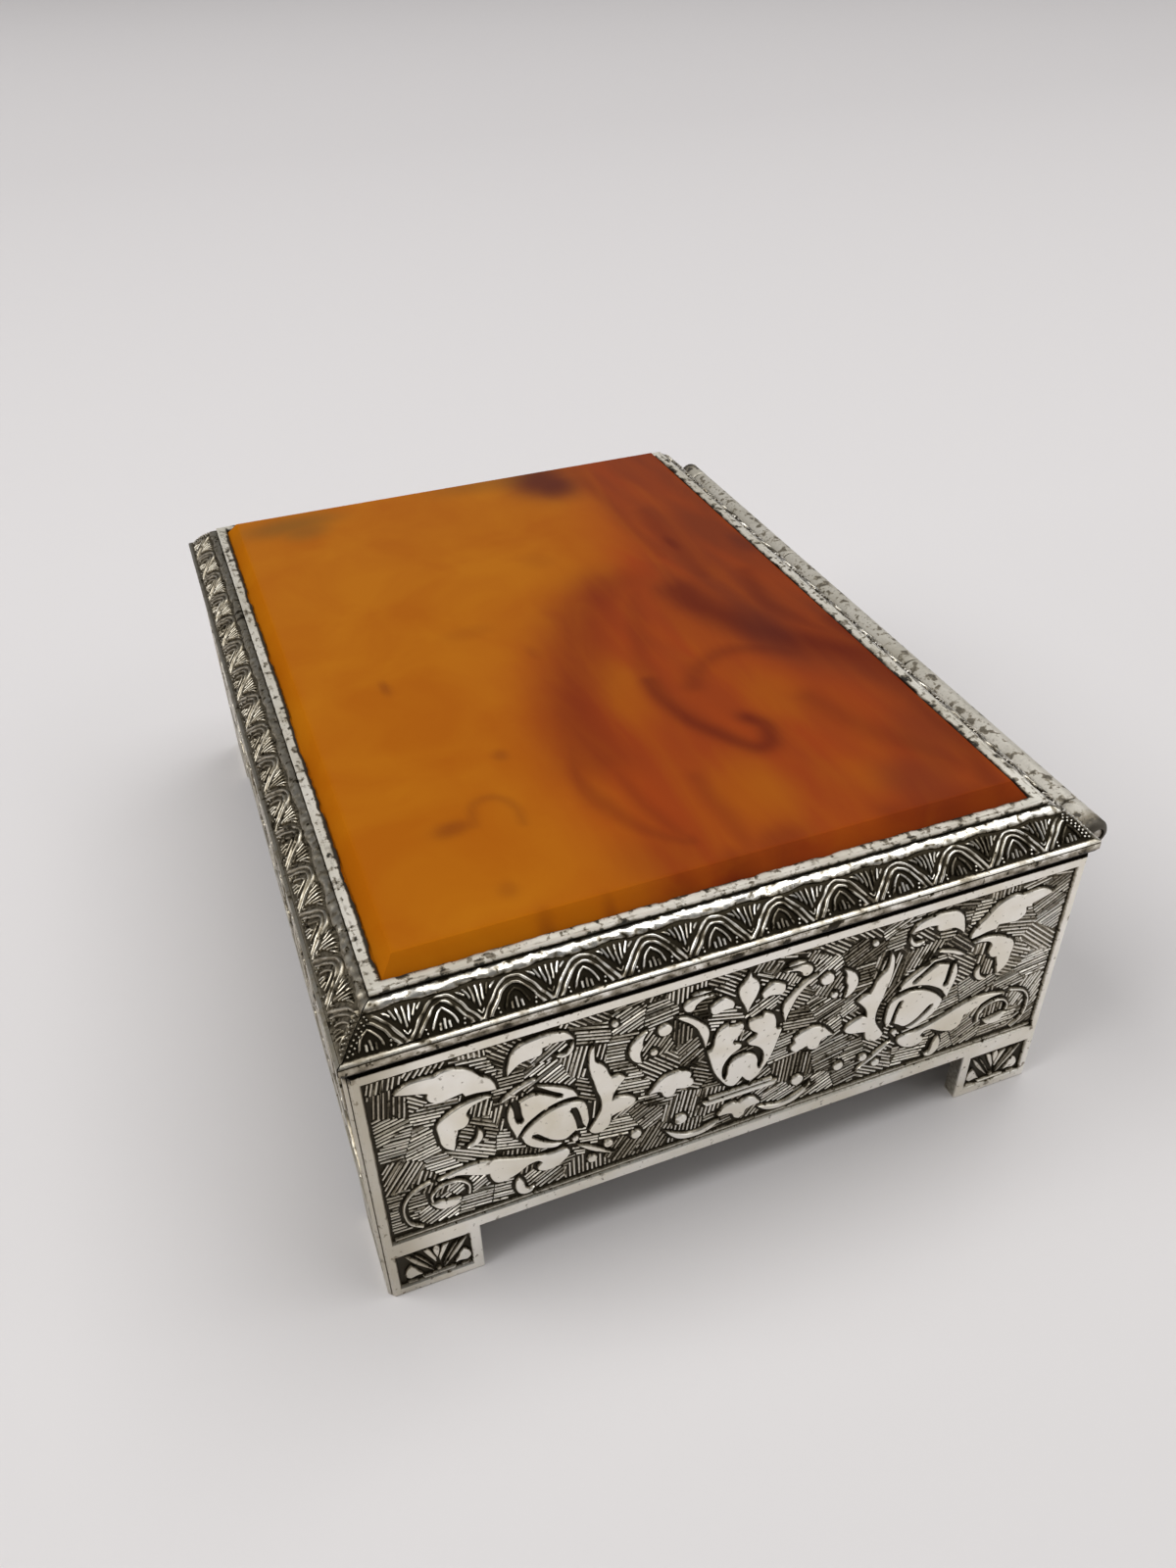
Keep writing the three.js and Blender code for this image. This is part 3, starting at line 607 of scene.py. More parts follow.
def centre_shapes():
    """The vase on the middle line, with the leaf over it and the drop and rails under it."""
    vase_left = [
        (0, 21.9), (-0.55, 21.0), (-1.2, 20.55), (-2.0, 20.9), (-2.6, 21.6), (-3.2, 22.6), (-3.9, 23.9),
        (-4.35, 25.2), (-4.7, 26.6), (-5.05, 28.0), (-5.2, 28.85), (-4.7, 28.95), (-4.4, 29.6),
        (-4.25, 31.0), (-3.9, 32.1), (-3.1, 32.7), (-2.5, 32.9), (-2.3, 32.35), (-0.5, 32.25),
        (-0.42, 31.2), (-0.9, 30.3), (-1.65, 29.6), (-1.65, 29.0), (-0.45, 28.3), (-0.7, 27.75),
        (-1.7, 27.1), (-2.4, 26.3), (-2.9, 25.2), (-3.0, 24.15), (-2.85, 22.95), (-2.5, 22.4),
        (-2.15, 23.1), (-2.1, 24.4), (-1.7, 25.35), (-1.0, 25.95), (0, 26.1),
    ]
    pointed = [(0, 41.3), (-0.3, 40.3), (-1.1, 39.3), (-1.4, 38.2), (-1.05, 36.75), (-0.5, 35.5), (0, 34.1)]
    drop = [(0, 16.4), (-0.6, 16.85), (-1.3, 16.95), (-2.1, 16.7), (-2.6, 16.0), (-3.1, 15.15),
            (-2.0, 15.0), (-1.1, 14.7), (-0.7, 13.7), (0, 13.25)]
    rails = [leaf([(-5.0, 18.05)], [(5.0, 18.05)], [(5.4, 18.75)], [(-5.4, 18.75)])]
    rails += [leaf([(-4.6, 19.15)], [(4.6, 19.15)], [(4.6, 19.5)], [(-4.6, 19.5)])]
    return [both_halves(vase_left), both_halves(pointed), both_halves(drop), *rails]


print("left half:", len(bud_group()), "bud shapes and", len(middle_group()), "scrolls")

# %% [markdown]
# ## Worn plating
#
# Silver plate darkens in the hollows and is rubbed bright on top. Painting that by hand would not follow
# a change of shape, so the finish reads the polish stored on each point and mixes dark patina with pale
# metal. Noise breaks the border between them and adds pits, flakes and a warm bloom. Along the front,
# where hands open the lid, the metal is browner.

# %% Plated finish
HANDLED = (0.40, 0.36, 0.28, 1)
HANDLED_FROM, HANDLED_TO = -49 * MM, -43 * MM
SMOKED = (0.62, 0.535, 0.39, 1)
ROUGHEST = 0.5


def plated_finish(name, bright, tarnished, dark, smoothest, worn, handled_share=0.0,
                  metallic=1.0, flake_mm=3.2):
    """Plate that goes from dark to bright with the polish, less what has flaked or is pitted."""
    material, tree, shader = open_material(name)
    depth = add_node(tree, "ShaderNodeSeparateXYZ", {0: place_on(tree)}).outputs["Y"]
    handled = span(tree, depth, HANDLED_FROM, HANDLED_TO, handled_share, 0.0)
    polish = add_node(tree, "ShaderNodeAttribute", attribute_name="polish").outputs["Fac"]
    mottle = grain(tree, 0.45, detail=6)
    bloom = grain(tree, 9, detail=5, distortion=0.6)
    pits = span(tree, grain(tree, 0.8, detail=7), 0.60, 0.70, 0.0, 0.5)
    wear = span(tree, grain(tree, flake_mm, detail=9), 0.62 - worn, 0.70 - worn, 0.0, 0.55)
    rubbed = combine(tree, polish, span(tree, mottle, 0.25, 0.75, -0.12, 0.12))
    rubbed = combine(tree, rubbed, combine(tree, pits, wear, "MAXIMUM"), "SUBTRACT")
    rubbed = span(tree, rubbed, 0.14, 0.8)
    metal = blend_colours(tree, span(tree, bloom, 0.38, 0.72), bright, tarnished)
    metal = blend_colours(tree, handled, metal, HANDLED)
    metal = blend_colours(tree, span(tree, rubbed, 0.25, 0.9), SMOKED, metal)
    scratches = grain(tree, 0.25, detail=2, stretch=(1, 0.12, 1))
    wire(tree, shader, {
        "Base Color": blend_colours(tree, rubbed, dark, metal),
        "Metallic": metallic,
        "Roughness": span(tree, rubbed, 0.0, 1.0, ROUGHEST, smoothest),
        "Normal": relief_bump(tree, combine(tree, scratches, mottle), 0.01, 0.25),
    })
    return material


PLATING = plated_finish(
    "worn_plating", bright=(0.93, 0.90, 0.83, 1), tarnished=(0.78, 0.725, 0.60, 1),
    dark=(0.036, 0.029, 0.018, 1), smoothest=0.28, worn=0.0, handled_share=0.7,
)
print("plating has", len(PLATING.node_tree.nodes), "nodes")

# %% [markdown]
# ## From points to a piece
#
# Every piece below ends as a list of points and faces. Blender's own primitives could be edited into
# shape, but points that are worked out can be checked and changed. One function makes the mesh, stores
# the polish or the smoke on its points, turns its faces outward and keeps its sharp edges sharp. Then it
# hangs the piece on the body it rides on, gives it its material and hides the solid that it stands for.

# %% Make a piece
def make_piece(name, points, faces, material, body, node, values=None, crease=40, flat=()):
    """A mesh from points in millimetres, which takes the place of a solid."""
    mesh = bpy.data.meshes.new(name)
    mesh.from_pydata([Vector(p) * MM for p in points], [], faces)
    for label, numbers in (values or {}).items():
        mesh.attributes.new(label, "FLOAT", "POINT").data.foreach_set("value", numbers)
    shell = bmesh.new()
    shell.from_mesh(mesh)
    bmesh.ops.recalc_face_normals(shell, faces=shell.faces)
    shell.to_mesh(mesh)
    shell.free()
    mesh.shade_smooth()
    mesh.set_sharp_from_angle(angle=math.radians(crease))
    for i in flat:
        mesh.polygons[i].use_smooth = False
    mesh.materials.append(material)
    piece = bpy.data.objects.new(name, mesh)
    bpy.context.scene.collection.objects.link(piece)
    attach(piece, body)
    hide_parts(node)


# %% [markdown]
# ## Hatched ground
#
# Between the leaves the chaser filled the ground with small patches of parallel strokes, each patch at
# its own slant. An array along one direction would look like a machine made it. Seed points split the
# field into patches, and a stroke is kept only where it stays in its patch and clear of every leaf. The
# grooves are rubbed out towards one end of the panel, as they are on the real one.

# %% What lies where
def is_inside(outline, point):
    """Whether a line from the point to the right crosses the outline an odd number of times."""
    crossings = False
    for a, b in zip(outline, outline[1:] + outline[:1]):
        if (a.y > point.y) != (b.y > point.y):
            crossings ^= point.x < a.x + (point.y - a.y) * (b.x - a.x) / (b.y - a.y)
    return crossings


def tree_of(points):
    """The points, sorted so that the nearest one is found quickly."""
    found = kdtree.KDTree(len(points))
    for i, p in enumerate(points):
        found.insert((p.x, p.y, 0), i)
    found.balance()
    return found


# %% One hatch stroke
SHORTEST = 5
STROKE_HALF = 0.19
STROKE_BACK = (0.075, 0.105)
STROKE_RISE = (0.16, 0.22)
STROKE_SHINE = (-0.15, 0.2)
END_SLOPE, END_SPREAD = 0.06, 0.08


def draw_stroke(sheet, kept, way, shapes, ground, shine, groove, dice):
    """One stroke: a low bar with sloping sides and a narrow flat back."""
    if len(kept) < SHORTEST or any(is_inside(shape, kept[len(kept) // 2]) for shape in shapes):
        return 0
    start, end = kept[0] - way * END_SPREAD, kept[-1] + way * dice.uniform(-END_SPREAD, END_SPREAD)
    side = Vector((-way.y, way.x))
    wide, narrow, cut_in = side * STROKE_HALF, side * dice.uniform(*STROKE_BACK), way * END_SLOPE
    near, far = start + cut_in, end - cut_in
    sheet.add_line([start - wide, end - wide, end + wide, start + wide], ground, groove, closed=True)
    back = [near - narrow, far - narrow, far + narrow, near + narrow]
    level = ground + dice.uniform(*STROKE_RISE)
    sheet.add_line(back, level, shine + dice.uniform(*STROKE_SHINE), closed=True)
    return 1


# %% Hatch the ground of a field
PATCH, SEED_SPREAD = 4.8, (0.15, 0.85)
SLANTS, SLANT_SPREAD = (6, 84, 32, -38, -10, 62), 8
STROKE_PITCH, PITCH_SPREAD = 0.6, 0.07
STROKE_STEP, LANES, STEPS = 0.14, 6, 34
SIDE_CLEAR, LOW_CLEAR, HIGH_CLEAR, LEAF_CLEAR = 0.55, 0.6, 0.5, 0.4
PATCH_SHINE, WORN_SHINE, FAR_SHINE = (0.38, 0.85), 0.08, 0.2
GROOVE_DARK, GROOVE_WORN = 0.02, 0.3


def hatch_field(sheet, shapes, half, low, high, ground, dice):
    """Patches of short ridges on the ground, clear of the shapes."""
    seeds = []
    for column in range(math.ceil(2 * half / PATCH)):
        for row in range(math.ceil((high - low) / PATCH)):
            along, up = (cell + dice.uniform(*SEED_SPREAD) for cell in (column, row))
            seeds.append(Vector((-half + along * PATCH, low + up * PATCH)))
    patches = tree_of(seeds)
    leaves = tree_of([p for shape in shapes for p in shape])
    made = 0
    for index, seed in enumerate(seeds):
        slant = math.radians(dice.choice(SLANTS) + dice.uniform(-SLANT_SPREAD, SLANT_SPREAD))
        way = Vector((math.cos(slant), math.sin(slant)))
        across = Vector((-way.y, way.x))
        worn = max(0.0, seed.x / half) ** 2
        shine = dice.uniform(*PATCH_SHINE) + WORN_SHINE * worn + FAR_SHINE * max(0.0, -seed.x / half)
        groove = GROOVE_DARK + GROOVE_WORN * worn
        for lane in range(-LANES, LANES + 1):
            kept = []
            offset = lane * STROKE_PITCH + dice.uniform(-PITCH_SPREAD, PITCH_SPREAD)
            for step in range(-STEPS, STEPS + 2):
                p = seed + across * offset + way * (step * STROKE_STEP)
                inside = abs(p.x) < half - SIDE_CLEAR and low + LOW_CLEAR < p.y < high - HIGH_CLEAR
                clear = inside and patches.find((p.x, p.y, 0))[1] == index
                if clear and leaves.find((p.x, p.y, 0))[2] > LEAF_CLEAR:
                    kept.append(p)
                    continue
                made += draw_stroke(sheet, kept, way, shapes, ground, shine, groove, dice)
                kept = []
            made += draw_stroke(sheet, kept, way, shapes, ground, shine, groove, dice)
    return made


# %% [markdown]
# ## The four panels
#
# A panel is a casting with a softened rim, a sunk field and two half feet with their own small fields.
# The face comes from the chased sheet. The rim and back are rows of points that follow the same edge
# further and further in, so the sheet and the block become one closed skin with mitred ends.

# %% Panel outline and rim
SOLDER_GAP = 0.1
FOOT_LENGTH = 13.0
FOOT_HEIGHT = right_low.z + 9.2
HINGE_NOTCH, NOTCH_DROP = 64.7, 0.7


def from_side(side, along, out, level):
    """A place in the box's frame from a place on one of its sides."""
    across, forward = {"front": (0, -1), "right": (1, 0), "back": (0, 1), "left": (-1, 0)}[side]
    return Vector((across * out - forward * along, MIDDLE_Y + forward * out + across * along, level))


def rim_corners(half, end_inset, inset, notched):
    """Corners of the panel's edge, anticlockwise seen from outside."""
    end, arch = half - end_inset, half + SOLDER_GAP - FOOT_LENGTH + inset
    corners = [(-end, inset), (-arch, inset), (-arch, FOOT_HEIGHT + inset), (arch, FOOT_HEIGHT + inset)]
    corners += [(arch, inset), (end, inset), (end, PANEL_TOP - inset)]
    if notched:
        side, floor_level = HINGE_NOTCH + inset, PANEL_TOP - NOTCH_DROP - inset
        corners += [(side, PANEL_TOP - inset), (side, floor_level), (-side, floor_level)]
        corners += [(-side, PANEL_TOP - inset)]
    return [Vector(c) for c in corners + [(-end, PANEL_TOP - inset)]]


def divided(corners, counts):
    """Points along a closed run of corners, so many to each edge."""
    points = []
    for start, end, count in zip(corners, corners[1:] + corners[:1], counts):
        points += [start.lerp(end, i / count) for i in range(count)]
    return points


def points_to_edges(corners, spacing, fewest):
    """How many points each edge of a closed run of corners gets."""
    lengths = [(b - a).length for a, b in zip(corners, corners[1:] + corners[:1])]
    return [max(fewest, round(length / spacing)) for length in lengths]


# %% Sunk fields
GROUND = -0.55
UNEVEN = 0.05
FIELD_SPACING = 1.1
# Inset, height, polish
FIELD_ROWS = ((0.0, 0.0, 1.0), (0.1, 0.12 * GROUND, 0.75), (0.3, GROUND, GROUND_POLISH))


def rough(p, scale, layer):
    """Smooth noise from -1 to 1 at a place on a sheet; each layer is another pattern."""
    return noise.noise((p.x * scale, p.y * scale, layer))


def sunk_field(sheet, low, high):
    """The softened edge and the foot of a sunk rectangle, a little uneven as on a hand-finished cast."""
    for inset, level, polish in FIELD_ROWS:
        left, bottom, right, top = low[0] + inset, low[1] + inset, high[0] - inset, high[1] - inset
        corners = [Vector(c) for c in ((left, bottom), (right, bottom), (right, top), (left, top))]
        edge = divided(corners, points_to_edges(corners, FIELD_SPACING, 2))
        uneven = [Vector((rough(p, 1, 1), rough(p, 1, 7))) * UNEVEN for p in edge]
        sheet.add_line([p + d for p, d in zip(edge, uneven)], level, polish, closed=True)


# %% Foot ornament
FOOT_MIDDLE = 7.0


def foot_shapes(outer):
    """Tulip, blades, buds and rails of the foot whose end is so far out, each with its polish."""
    petal = leaf(
        [(-1.65, 7.65), (-1.2, 6.5), (-0.75, 5.5), (-0.25, 4.5)],
        [(-0.2, 5.4), (-0.5, 6.3), (-0.95, 7.5)],
    )
    heart = both_halves([(0, 8.1), (-0.35, 7.6), (-0.42, 6.9), (-0.25, 6.1), (0, 5.4)])
    blade = leaf(
        [(-4.1, 7.8), (-3.2, 6.9), (-2.2, 5.4), (-1.3, 3.9)],
        [(-0.7, 2.9), (-1.9, 4.2), (-3.2, 5.9)],
    )
    inner_blade = leaf(
        [(-2.85, 7.4), (-1.85, 5.6), (-0.95, 4.1)],
        [(-0.6, 3.5), (-1.4, 5.2), (-2.3, 6.8)],
    )
    bud = leaf([(-3.5, 5.2), (-4.1, 4.6), (-4.4, 3.4), (-3.8, 2.75), (-3.0, 2.95)],
               [(-2.2, 2.9), (-2.7, 3.7), (-3.0, 4.5)])
    rail = leaf([(-2.0, 1.75)], [(2.0, 1.75)], [(2.2, 2.1)], [(-2.2, 2.1)])
    end_rail = leaf([(-4.2, 1.8)], [(-3.0, 1.75)], [(-3.0, 2.0)], [(-4.2, 2.1)])
    shapes = [(heart, 0.85), (rail, 1.0), (disc(0, 2.8, 0.32), 0.5)]
    for shape, polish in ((petal, 0.9), (blade, 0.62), (inner_blade, 0.5), (bud, 0.9), (end_rail, 0.6)):
        shapes += [(shape, polish), (mirrored(shape), polish)]
    return [(shifted(shape, outer - FOOT_MIDDLE), polish) for shape, polish in shapes]


# %% The extra flower of the long panels
ROSETTE_LEVEL = 29.6
PETALS = 5


def flower_group(x):
    """A rosette on a stem with two leaves, which fills the gap on a long panel."""
    petal = leaf(
        [(0, 1.4), (-1.1, 2.4), (-1.3, 3.6), (-0.6, 4.4)],
        [(0, 4.1), (0.6, 4.4), (1.3, 3.6), (1.1, 2.4)],
    )
    petals = []
    for i in range(PETALS):
        turn = 2 * math.pi * i / PETALS
        cos, sin = math.cos(turn), math.sin(turn)
        petals.append([Vector((p.x * cos - p.y * sin, p.x * sin + p.y * cos)) for p in petal])
    side_leaf = leaf([(-0.7, 16.5), (-2.4, 17.2), (-4.2, 19.0), (-5.2, 21.6)],
                     [(-5.6, 23.4), (-6.5, 20.8), (-5.9, 18.0), (-4.0, 15.8), (-2.2, 15.2)])
    top_leaf = leaf([(-1.0, 36.2), (-2.6, 36.6), (-4.4, 38.2), (-5.0, 40.2)],
                    [(-4.2, 40.9), (-2.8, 39.6), (-1.6, 38.4)])
    stem = leaf(
        [(-0.35, 14.2), (0.35, 14.2)], [(0.3, 20.0), (0.35, 23.6)], [(-0.35, 23.6), (-0.3, 20.0)],
    )
    shapes = [shifted(p, 0, ROSETTE_LEVEL) for p in petals] + [disc(0, ROSETTE_LEVEL, 0.9), stem]
    berries = [disc(-6.2, 31.5, 0.7), disc(-5.6, 26.6, 0.55), disc(-3.4, 13.6, 0.6)]
    for shape in (side_leaf, top_leaf, *berries):
        shapes += [shape, mirrored(shape)]
    return [shifted(shape, x) for shape in shapes]


# %% Draw the face of a panel
# Depth behind the face, inset at the mitred ends, inset elsewhere
RIM_ROWS = ((0.0, 0.8, 0.2), (0.06, 0.72, 0.06), (0.2, 0.6, 0.0), (0.4, 0.4, 0.0), (2.4, 2.4, 0.0))
RIM_SPACING, RIM_POLISH = 1.6, 0.95
END_PANEL_HALF = BODY_OUT["front"]
FLOWER_OFFSET = 6.5
FIELD_EDGE, FIELD_LOW, FIELD_HIGH = 1.6, 11.2, 42.4
RAIL_END, RAIL_LOW, RAIL_HIGH = 2.2, 11.65, 12.05
RAIL_TOP, RAIL_POLISH = -0.2, 0.6
HATCH_LOW = 12.0
FOOT_FIELD_ENDS, FOOT_FIELD_LEVELS, FOOT_TOP = (1.6, 11.7), (1.3, 8.5), -0.1


def panel_shapes(half):
    """Every raised shape in the large field: both halves, moved outward on the longer panels."""
    push = half - END_PANEL_HALF
    left = [shifted(shape, -push) for shape in bud_group()] + middle_group()
    if push > 1:
        left += flower_group(-FLOWER_OFFSET - push)
    return left + [mirrored(shape) for shape in left] + centre_shapes()


def panel_face(outer, corners, counts, dice):
    """The chased sheet of a panel and the numbers of the points on its edge."""
    sheet = ChasedSheet()
    edge_row = sheet.add_line(divided(corners, counts), 0.0, RIM_POLISH, closed=True)
    shapes = panel_shapes(outer)
    sunk_field(sheet, (-outer + FIELD_EDGE, FIELD_LOW), (outer - FIELD_EDGE, FIELD_HIGH))
    end = outer - RAIL_END
    rail = leaf([(-end, RAIL_LOW)], [(end, RAIL_LOW)], [(end, RAIL_HIGH)], [(-end, RAIL_HIGH)])
    raise_shape(sheet, rail, GROUND, RAIL_TOP, RAIL_POLISH)
    for shape in shapes:
        raise_shape(sheet, shape, GROUND)
    strokes = hatch_field(sheet, shapes, outer - FIELD_EDGE, HATCH_LOW, FIELD_HIGH, GROUND, dice)
    for sign in (-1, 1):
        low, high = sorted(sign * (outer - inset) for inset in FOOT_FIELD_ENDS)
        sunk_field(sheet, (low, FOOT_FIELD_LEVELS[0]), (high, FOOT_FIELD_LEVELS[1]))
        for shape, polish in foot_shapes(outer):
            raise_shape(sheet, shape if sign > 0 else mirrored(shape), GROUND, FOOT_TOP, polish)
    print(len(shapes), "shapes and", strokes, "strokes")
    return sheet, edge_row


# %% Close a panel behind its face
TOP_STRIP, TOP_POLISH = 0.5, 0.08
RIM_DEPTH, BACK_POLISH = 0.3, 0.6
# Depth behind the face, inset at the ends
LEDGE_ROWS = ((2.3, 2.4), (3.9, 3.9))
LEDGE_LEVELS = (9.2, 9.2, 10.2, 10.2)
LEDGE_POLISH = 0.4


def edge_polish(p, depth):
    """Dark along the top, where the lid shuts, bright on the rim and dull further in."""
    if p.y > PANEL_TOP - TOP_STRIP:
        return TOP_POLISH
    return RIM_POLISH if depth < RIM_DEPTH else BACK_POLISH


def close_behind(side, half, notched, counts, edge_row, points, polish, faces):
    """The rim and the back: the face's edge, again and again and further in each time."""
    previous = edge_row
    for depth, end_inset, inset in RIM_ROWS[1:]:
        row = divided(rim_corners(half, end_inset, inset, notched), counts)
        first = len(points)
        points += [from_side(side, p.x, BODY_OUT[side] - depth, p.y) for p in row]
        polish += [edge_polish(p, depth) for p in row]
        current = list(range(first, first + len(row)))
        for i in range(len(row)):
            j = (i + 1) % len(row)
            faces.append((previous[i], previous[j], current[j], current[i]))
        previous = current
    faces.append(tuple(reversed(previous)))


def add_ledge(side, half, points, polish, faces):
    """The bar on the back of a panel that carries the base."""
    ledge = len(points)
    for depth, end_inset in LEDGE_ROWS:
        reach, out = half - end_inset, BODY_OUT[side] - depth
        for along, level in zip((-reach, reach, reach, -reach), LEDGE_LEVELS):
            points.append(from_side(side, along, out, level))
            polish.append(LEDGE_POLISH)
    faces += [(ledge, ledge + 1, ledge + 2, ledge + 3), (ledge + 4, ledge + 7, ledge + 6, ledge + 5)]
    for i in range(4):
        j = (i + 1) % 4
        faces.append((ledge + i, ledge + 4 + i, ledge + 4 + j, ledge + j))


# %% Build the panels
def build_panel(side, seed):
    """One panel: its face laid out flat, filled, stood up on its side of the box and closed behind."""
    outer = BODY_OUT["right" if side in ("front", "back") else "front"]
    half, notched = outer - SOLDER_GAP, side == "back"
    corners = rim_corners(half, RIM_ROWS[0][1], RIM_ROWS[0][2], notched)
    counts = points_to_edges(corners, RIM_SPACING, 1)
    sheet, edge_row = panel_face(outer, corners, counts, random.Random(seed))
    places, heights, polish, faces, went = sheet.fill()
    flat = [i for i, face in enumerate(faces) if len({round(heights[j], 4) for j in face}) == 1]
    points = [from_side(side, p.x, BODY_OUT[side] + h, p.y) for p, h in zip(places, heights)]
    close_behind(side, half, notched, counts, [went[i] for i in edge_row], points, polish, faces)
    add_ledge(side, half, points, polish, faces)
    name, values = side + "_panel", {"polish": polish}
    make_piece(name + "_chased", points, faces, PLATING, "case", name, values, flat=flat)
    print(name, len(faces), "faces")


for seed, side in enumerate(("front", "right", "back", "left")):
    build_panel(side, seed)

# %% [markdown]
# ## Leaf-and-dart moulding
#
# The lid's sloping edge repeats one leaf: a high arch with a broad border and a small veined leaf inside,
# with a palmette in each gap and a scalloped, hammered roll over them. One leaf could be copied by an
# array, but the real ones were cut by hand. So it is another chased sheet, bent over a swelling curve, in
# which noise moves each line a little. Its two ends run along the mitres, where beads hide the joints.

# %% Moulding section
BAND_TOP = LID_BOTTOM + 1.85
FACE_FOOT = Vector((0.5, BAND_TOP))
FACE_HEAD = Vector((LID_OUT["right"] - bezel_high.x, SEAT_LEVEL))
FACE_SWELL = 0.55
FACE_RUN = 6.25
FACE_GROUND = -0.32
LEAF_GROUND = -0.38


def face_place(t, height=0.0):
    """Inset and level on the swelling face, t millimetres up the slope and so far off it."""
    share = t / FACE_RUN
    chord = FACE_HEAD - FACE_FOOT
    crown = (FACE_FOOT + FACE_HEAD) / 2 + Vector((-chord.y, chord.x)).normalized() * (2 * FACE_SWELL)
    start, end = FACE_FOOT.lerp(crown, share), crown.lerp(FACE_HEAD, share)
    way = (end - start).normalized()
    return start.lerp(end, share) + Vector((-way.y, way.x)) * height


# Distance up the slope, height, polish
FACE_ROWS = (
    (0.0, -0.02, 0.6), (0.1, -0.08, 0.3), (0.24, FACE_GROUND, 0.04), (4.66, FACE_GROUND, 0.04),
    (4.76, -0.1, 0.5), (4.92, 0.0, 0.7), (5.25, 0.05, 0.95), (5.6, 0.05, 0.95), (5.9, 0.0, 0.9),
    (6.1, -0.06, 0.7), (FACE_RUN, -0.2, 0.04),
)
ROLL_FROM = 3

# %% One leaf of the moulding
LINE_STEP = 0.36
VALLEY = 4.19
ARCH = ((4.1, 0.5), (3.8, 0.95), (3.2, 1.8), (2.6, 2.65), (2.0, 3.4), (1.4, 4.0), (0.75, 4.35))
ARCH_TIP = (0, 4.5)
ARCH_FOOT_OUT, ARCH_FOOT_LOW = 0.14, 0.8
STRAND_FOOT = 0.34
# Inset from the arch, height, polish
ARCH_STRANDS = (
    (-0.02, -0.03, 0.8), (0.08, 0.045, 1.0), (0.18, 0.045, 1.0), (0.28, -0.03, 0.7),
    (0.36, -0.16, 0.02), (0.44, -0.19, 0.1), (0.66, -0.1, 0.2), (0.74, -0.02, 0.7),
    (0.82, 0.03, 1.0), (0.92, 0.03, 1.0), (1.0, -0.03, 0.6), (1.08, LEAF_GROUND, 0.02),
)


def arch_line(flank, tip):
    """An arch over the middle line, from its left foot to its right foot."""
    left = smooth_edge([*((-x, t) for x, t in flank), tip], LINE_STEP)
    return left + [Vector(tip)] + [Vector((-p.x, p.y)) for p in reversed(left)]


def moved_in(line, distance):
    """The same arch, so far inside."""
    ways = [(b - a).normalized() for a, b in zip(line[:1] + line, line[1:] + line[-1:])]
    return [p + Vector((way.y, -way.x)) * distance for p, way in zip(line, ways)]


def leaf_strands():
    """Lines that shape the broad border of a leaf: points, a height and a polish."""
    crest = arch_line(ARCH, ARCH_TIP)
    foot = [p for p in moved_in(crest, -ARCH_FOOT_OUT) if p.y > ARCH_FOOT_LOW]
    strands = [(foot, FACE_GROUND, 0.04)]
    for inset, height, polish in ARCH_STRANDS:
        strands.append(([p for p in moved_in(crest, inset) if p.y > STRAND_FOOT], height, polish))
    return strands


# %% Veins of the leaf, palmette and beads
def leaf_ridges():
    """Ridges of a leaf and its palmette: line, half width, ground, crest low and high, polish."""
    inner = arch_line([(1.5, 0.5), (1.35, 1.0), (1.05, 1.75), (0.6, 2.45)], (0, 2.95))
    ridges = [(inner, 0.2, LEAF_GROUND, 0.04, -0.04, 1.0)]
    for x, top in ((-0.62, 1.55), (0.0, 1.95), (0.62, 1.55)):
        line = [Vector((x * (1 - 0.12 * t), t)) for t in (0.45, 0.65, 1.1, top - 0.2, top)]
        ridges.append((line, 0.22, LEAF_GROUND, 0.14, -0.12, 1.0))
    for k in range(-3, 4):
        foot = Vector((VALLEY + k * 0.45, 1.7 + 0.58 * abs(k)))
        head = Vector((VALLEY + k * 0.8, 4.75 - 0.04 * k * k))
        line = smooth_edge([head, (VALLEY + k * 0.58, (foot.y + head.y) / 2), foot], LINE_STEP)
        ridges.append((line + [foot], 0.19, FACE_GROUND, 0.12, 0.04, 1.0))
    fork = smooth_edge([(VALLEY - 0.5, 1.85), (VALLEY, 1.2), (VALLEY + 0.5, 1.85)], 0.3)
    ridges.append((fork + [Vector((VALLEY + 0.5, 1.85))], 0.13, FACE_GROUND, 0.0, -0.04, 0.9))
    return ridges


def leaf_beads():
    """Places of the beads of a leaf."""
    return [Vector((sign * x, t)) for x, t in ((2.1, 0.6), (2.2, 1.1)) for sign in (-1, 1)]


# %% The roll over the leaves
SCALLOPS, UNEVEN_SCALLOP = (0.3, 0.3, 0.28, 0.15), 0.07
BROAD_DENT, SMALL_DENT = 0.16, 0.07
SPECK_DEPTH = 1.3
DULL_ROLL = {"front": 0.3}
DARKEST = 0.03


def hammered(p):
    """Dents of the roll, broad ones and small ones."""
    return BROAD_DENT * noise.noise((p.x, p.y * 1.5, 12)) + SMALL_DENT * rough(p, 2.2, 15)


def scalloped(on_roll, along, turn):
    """How far a line of the roll is drawn up over the middle of a leaf."""
    if not 0 <= on_roll < len(SCALLOPS):
        return 0.0
    uneven = UNEVEN_SCALLOP * abs(noise.noise((along * 1.1, 0, 6)))
    return SCALLOPS[on_roll] * max(0.0, math.cos(turn)) + uneven


def stained(on_roll, along, t, dull):
    """The polish that the roll has lost in specks, and in clouds on a dull side."""
    specks = max(0.0, noise.noise((along * 1.3, t * 1.6, 9)) - 0.02) if on_roll > 0 else 0.0
    clouds = max(0.0, 0.7 + noise.noise((along * 0.8, t * 0.8, 17))) if on_roll > 1 else 0.0
    return SPECK_DEPTH * specks + dull * clouds


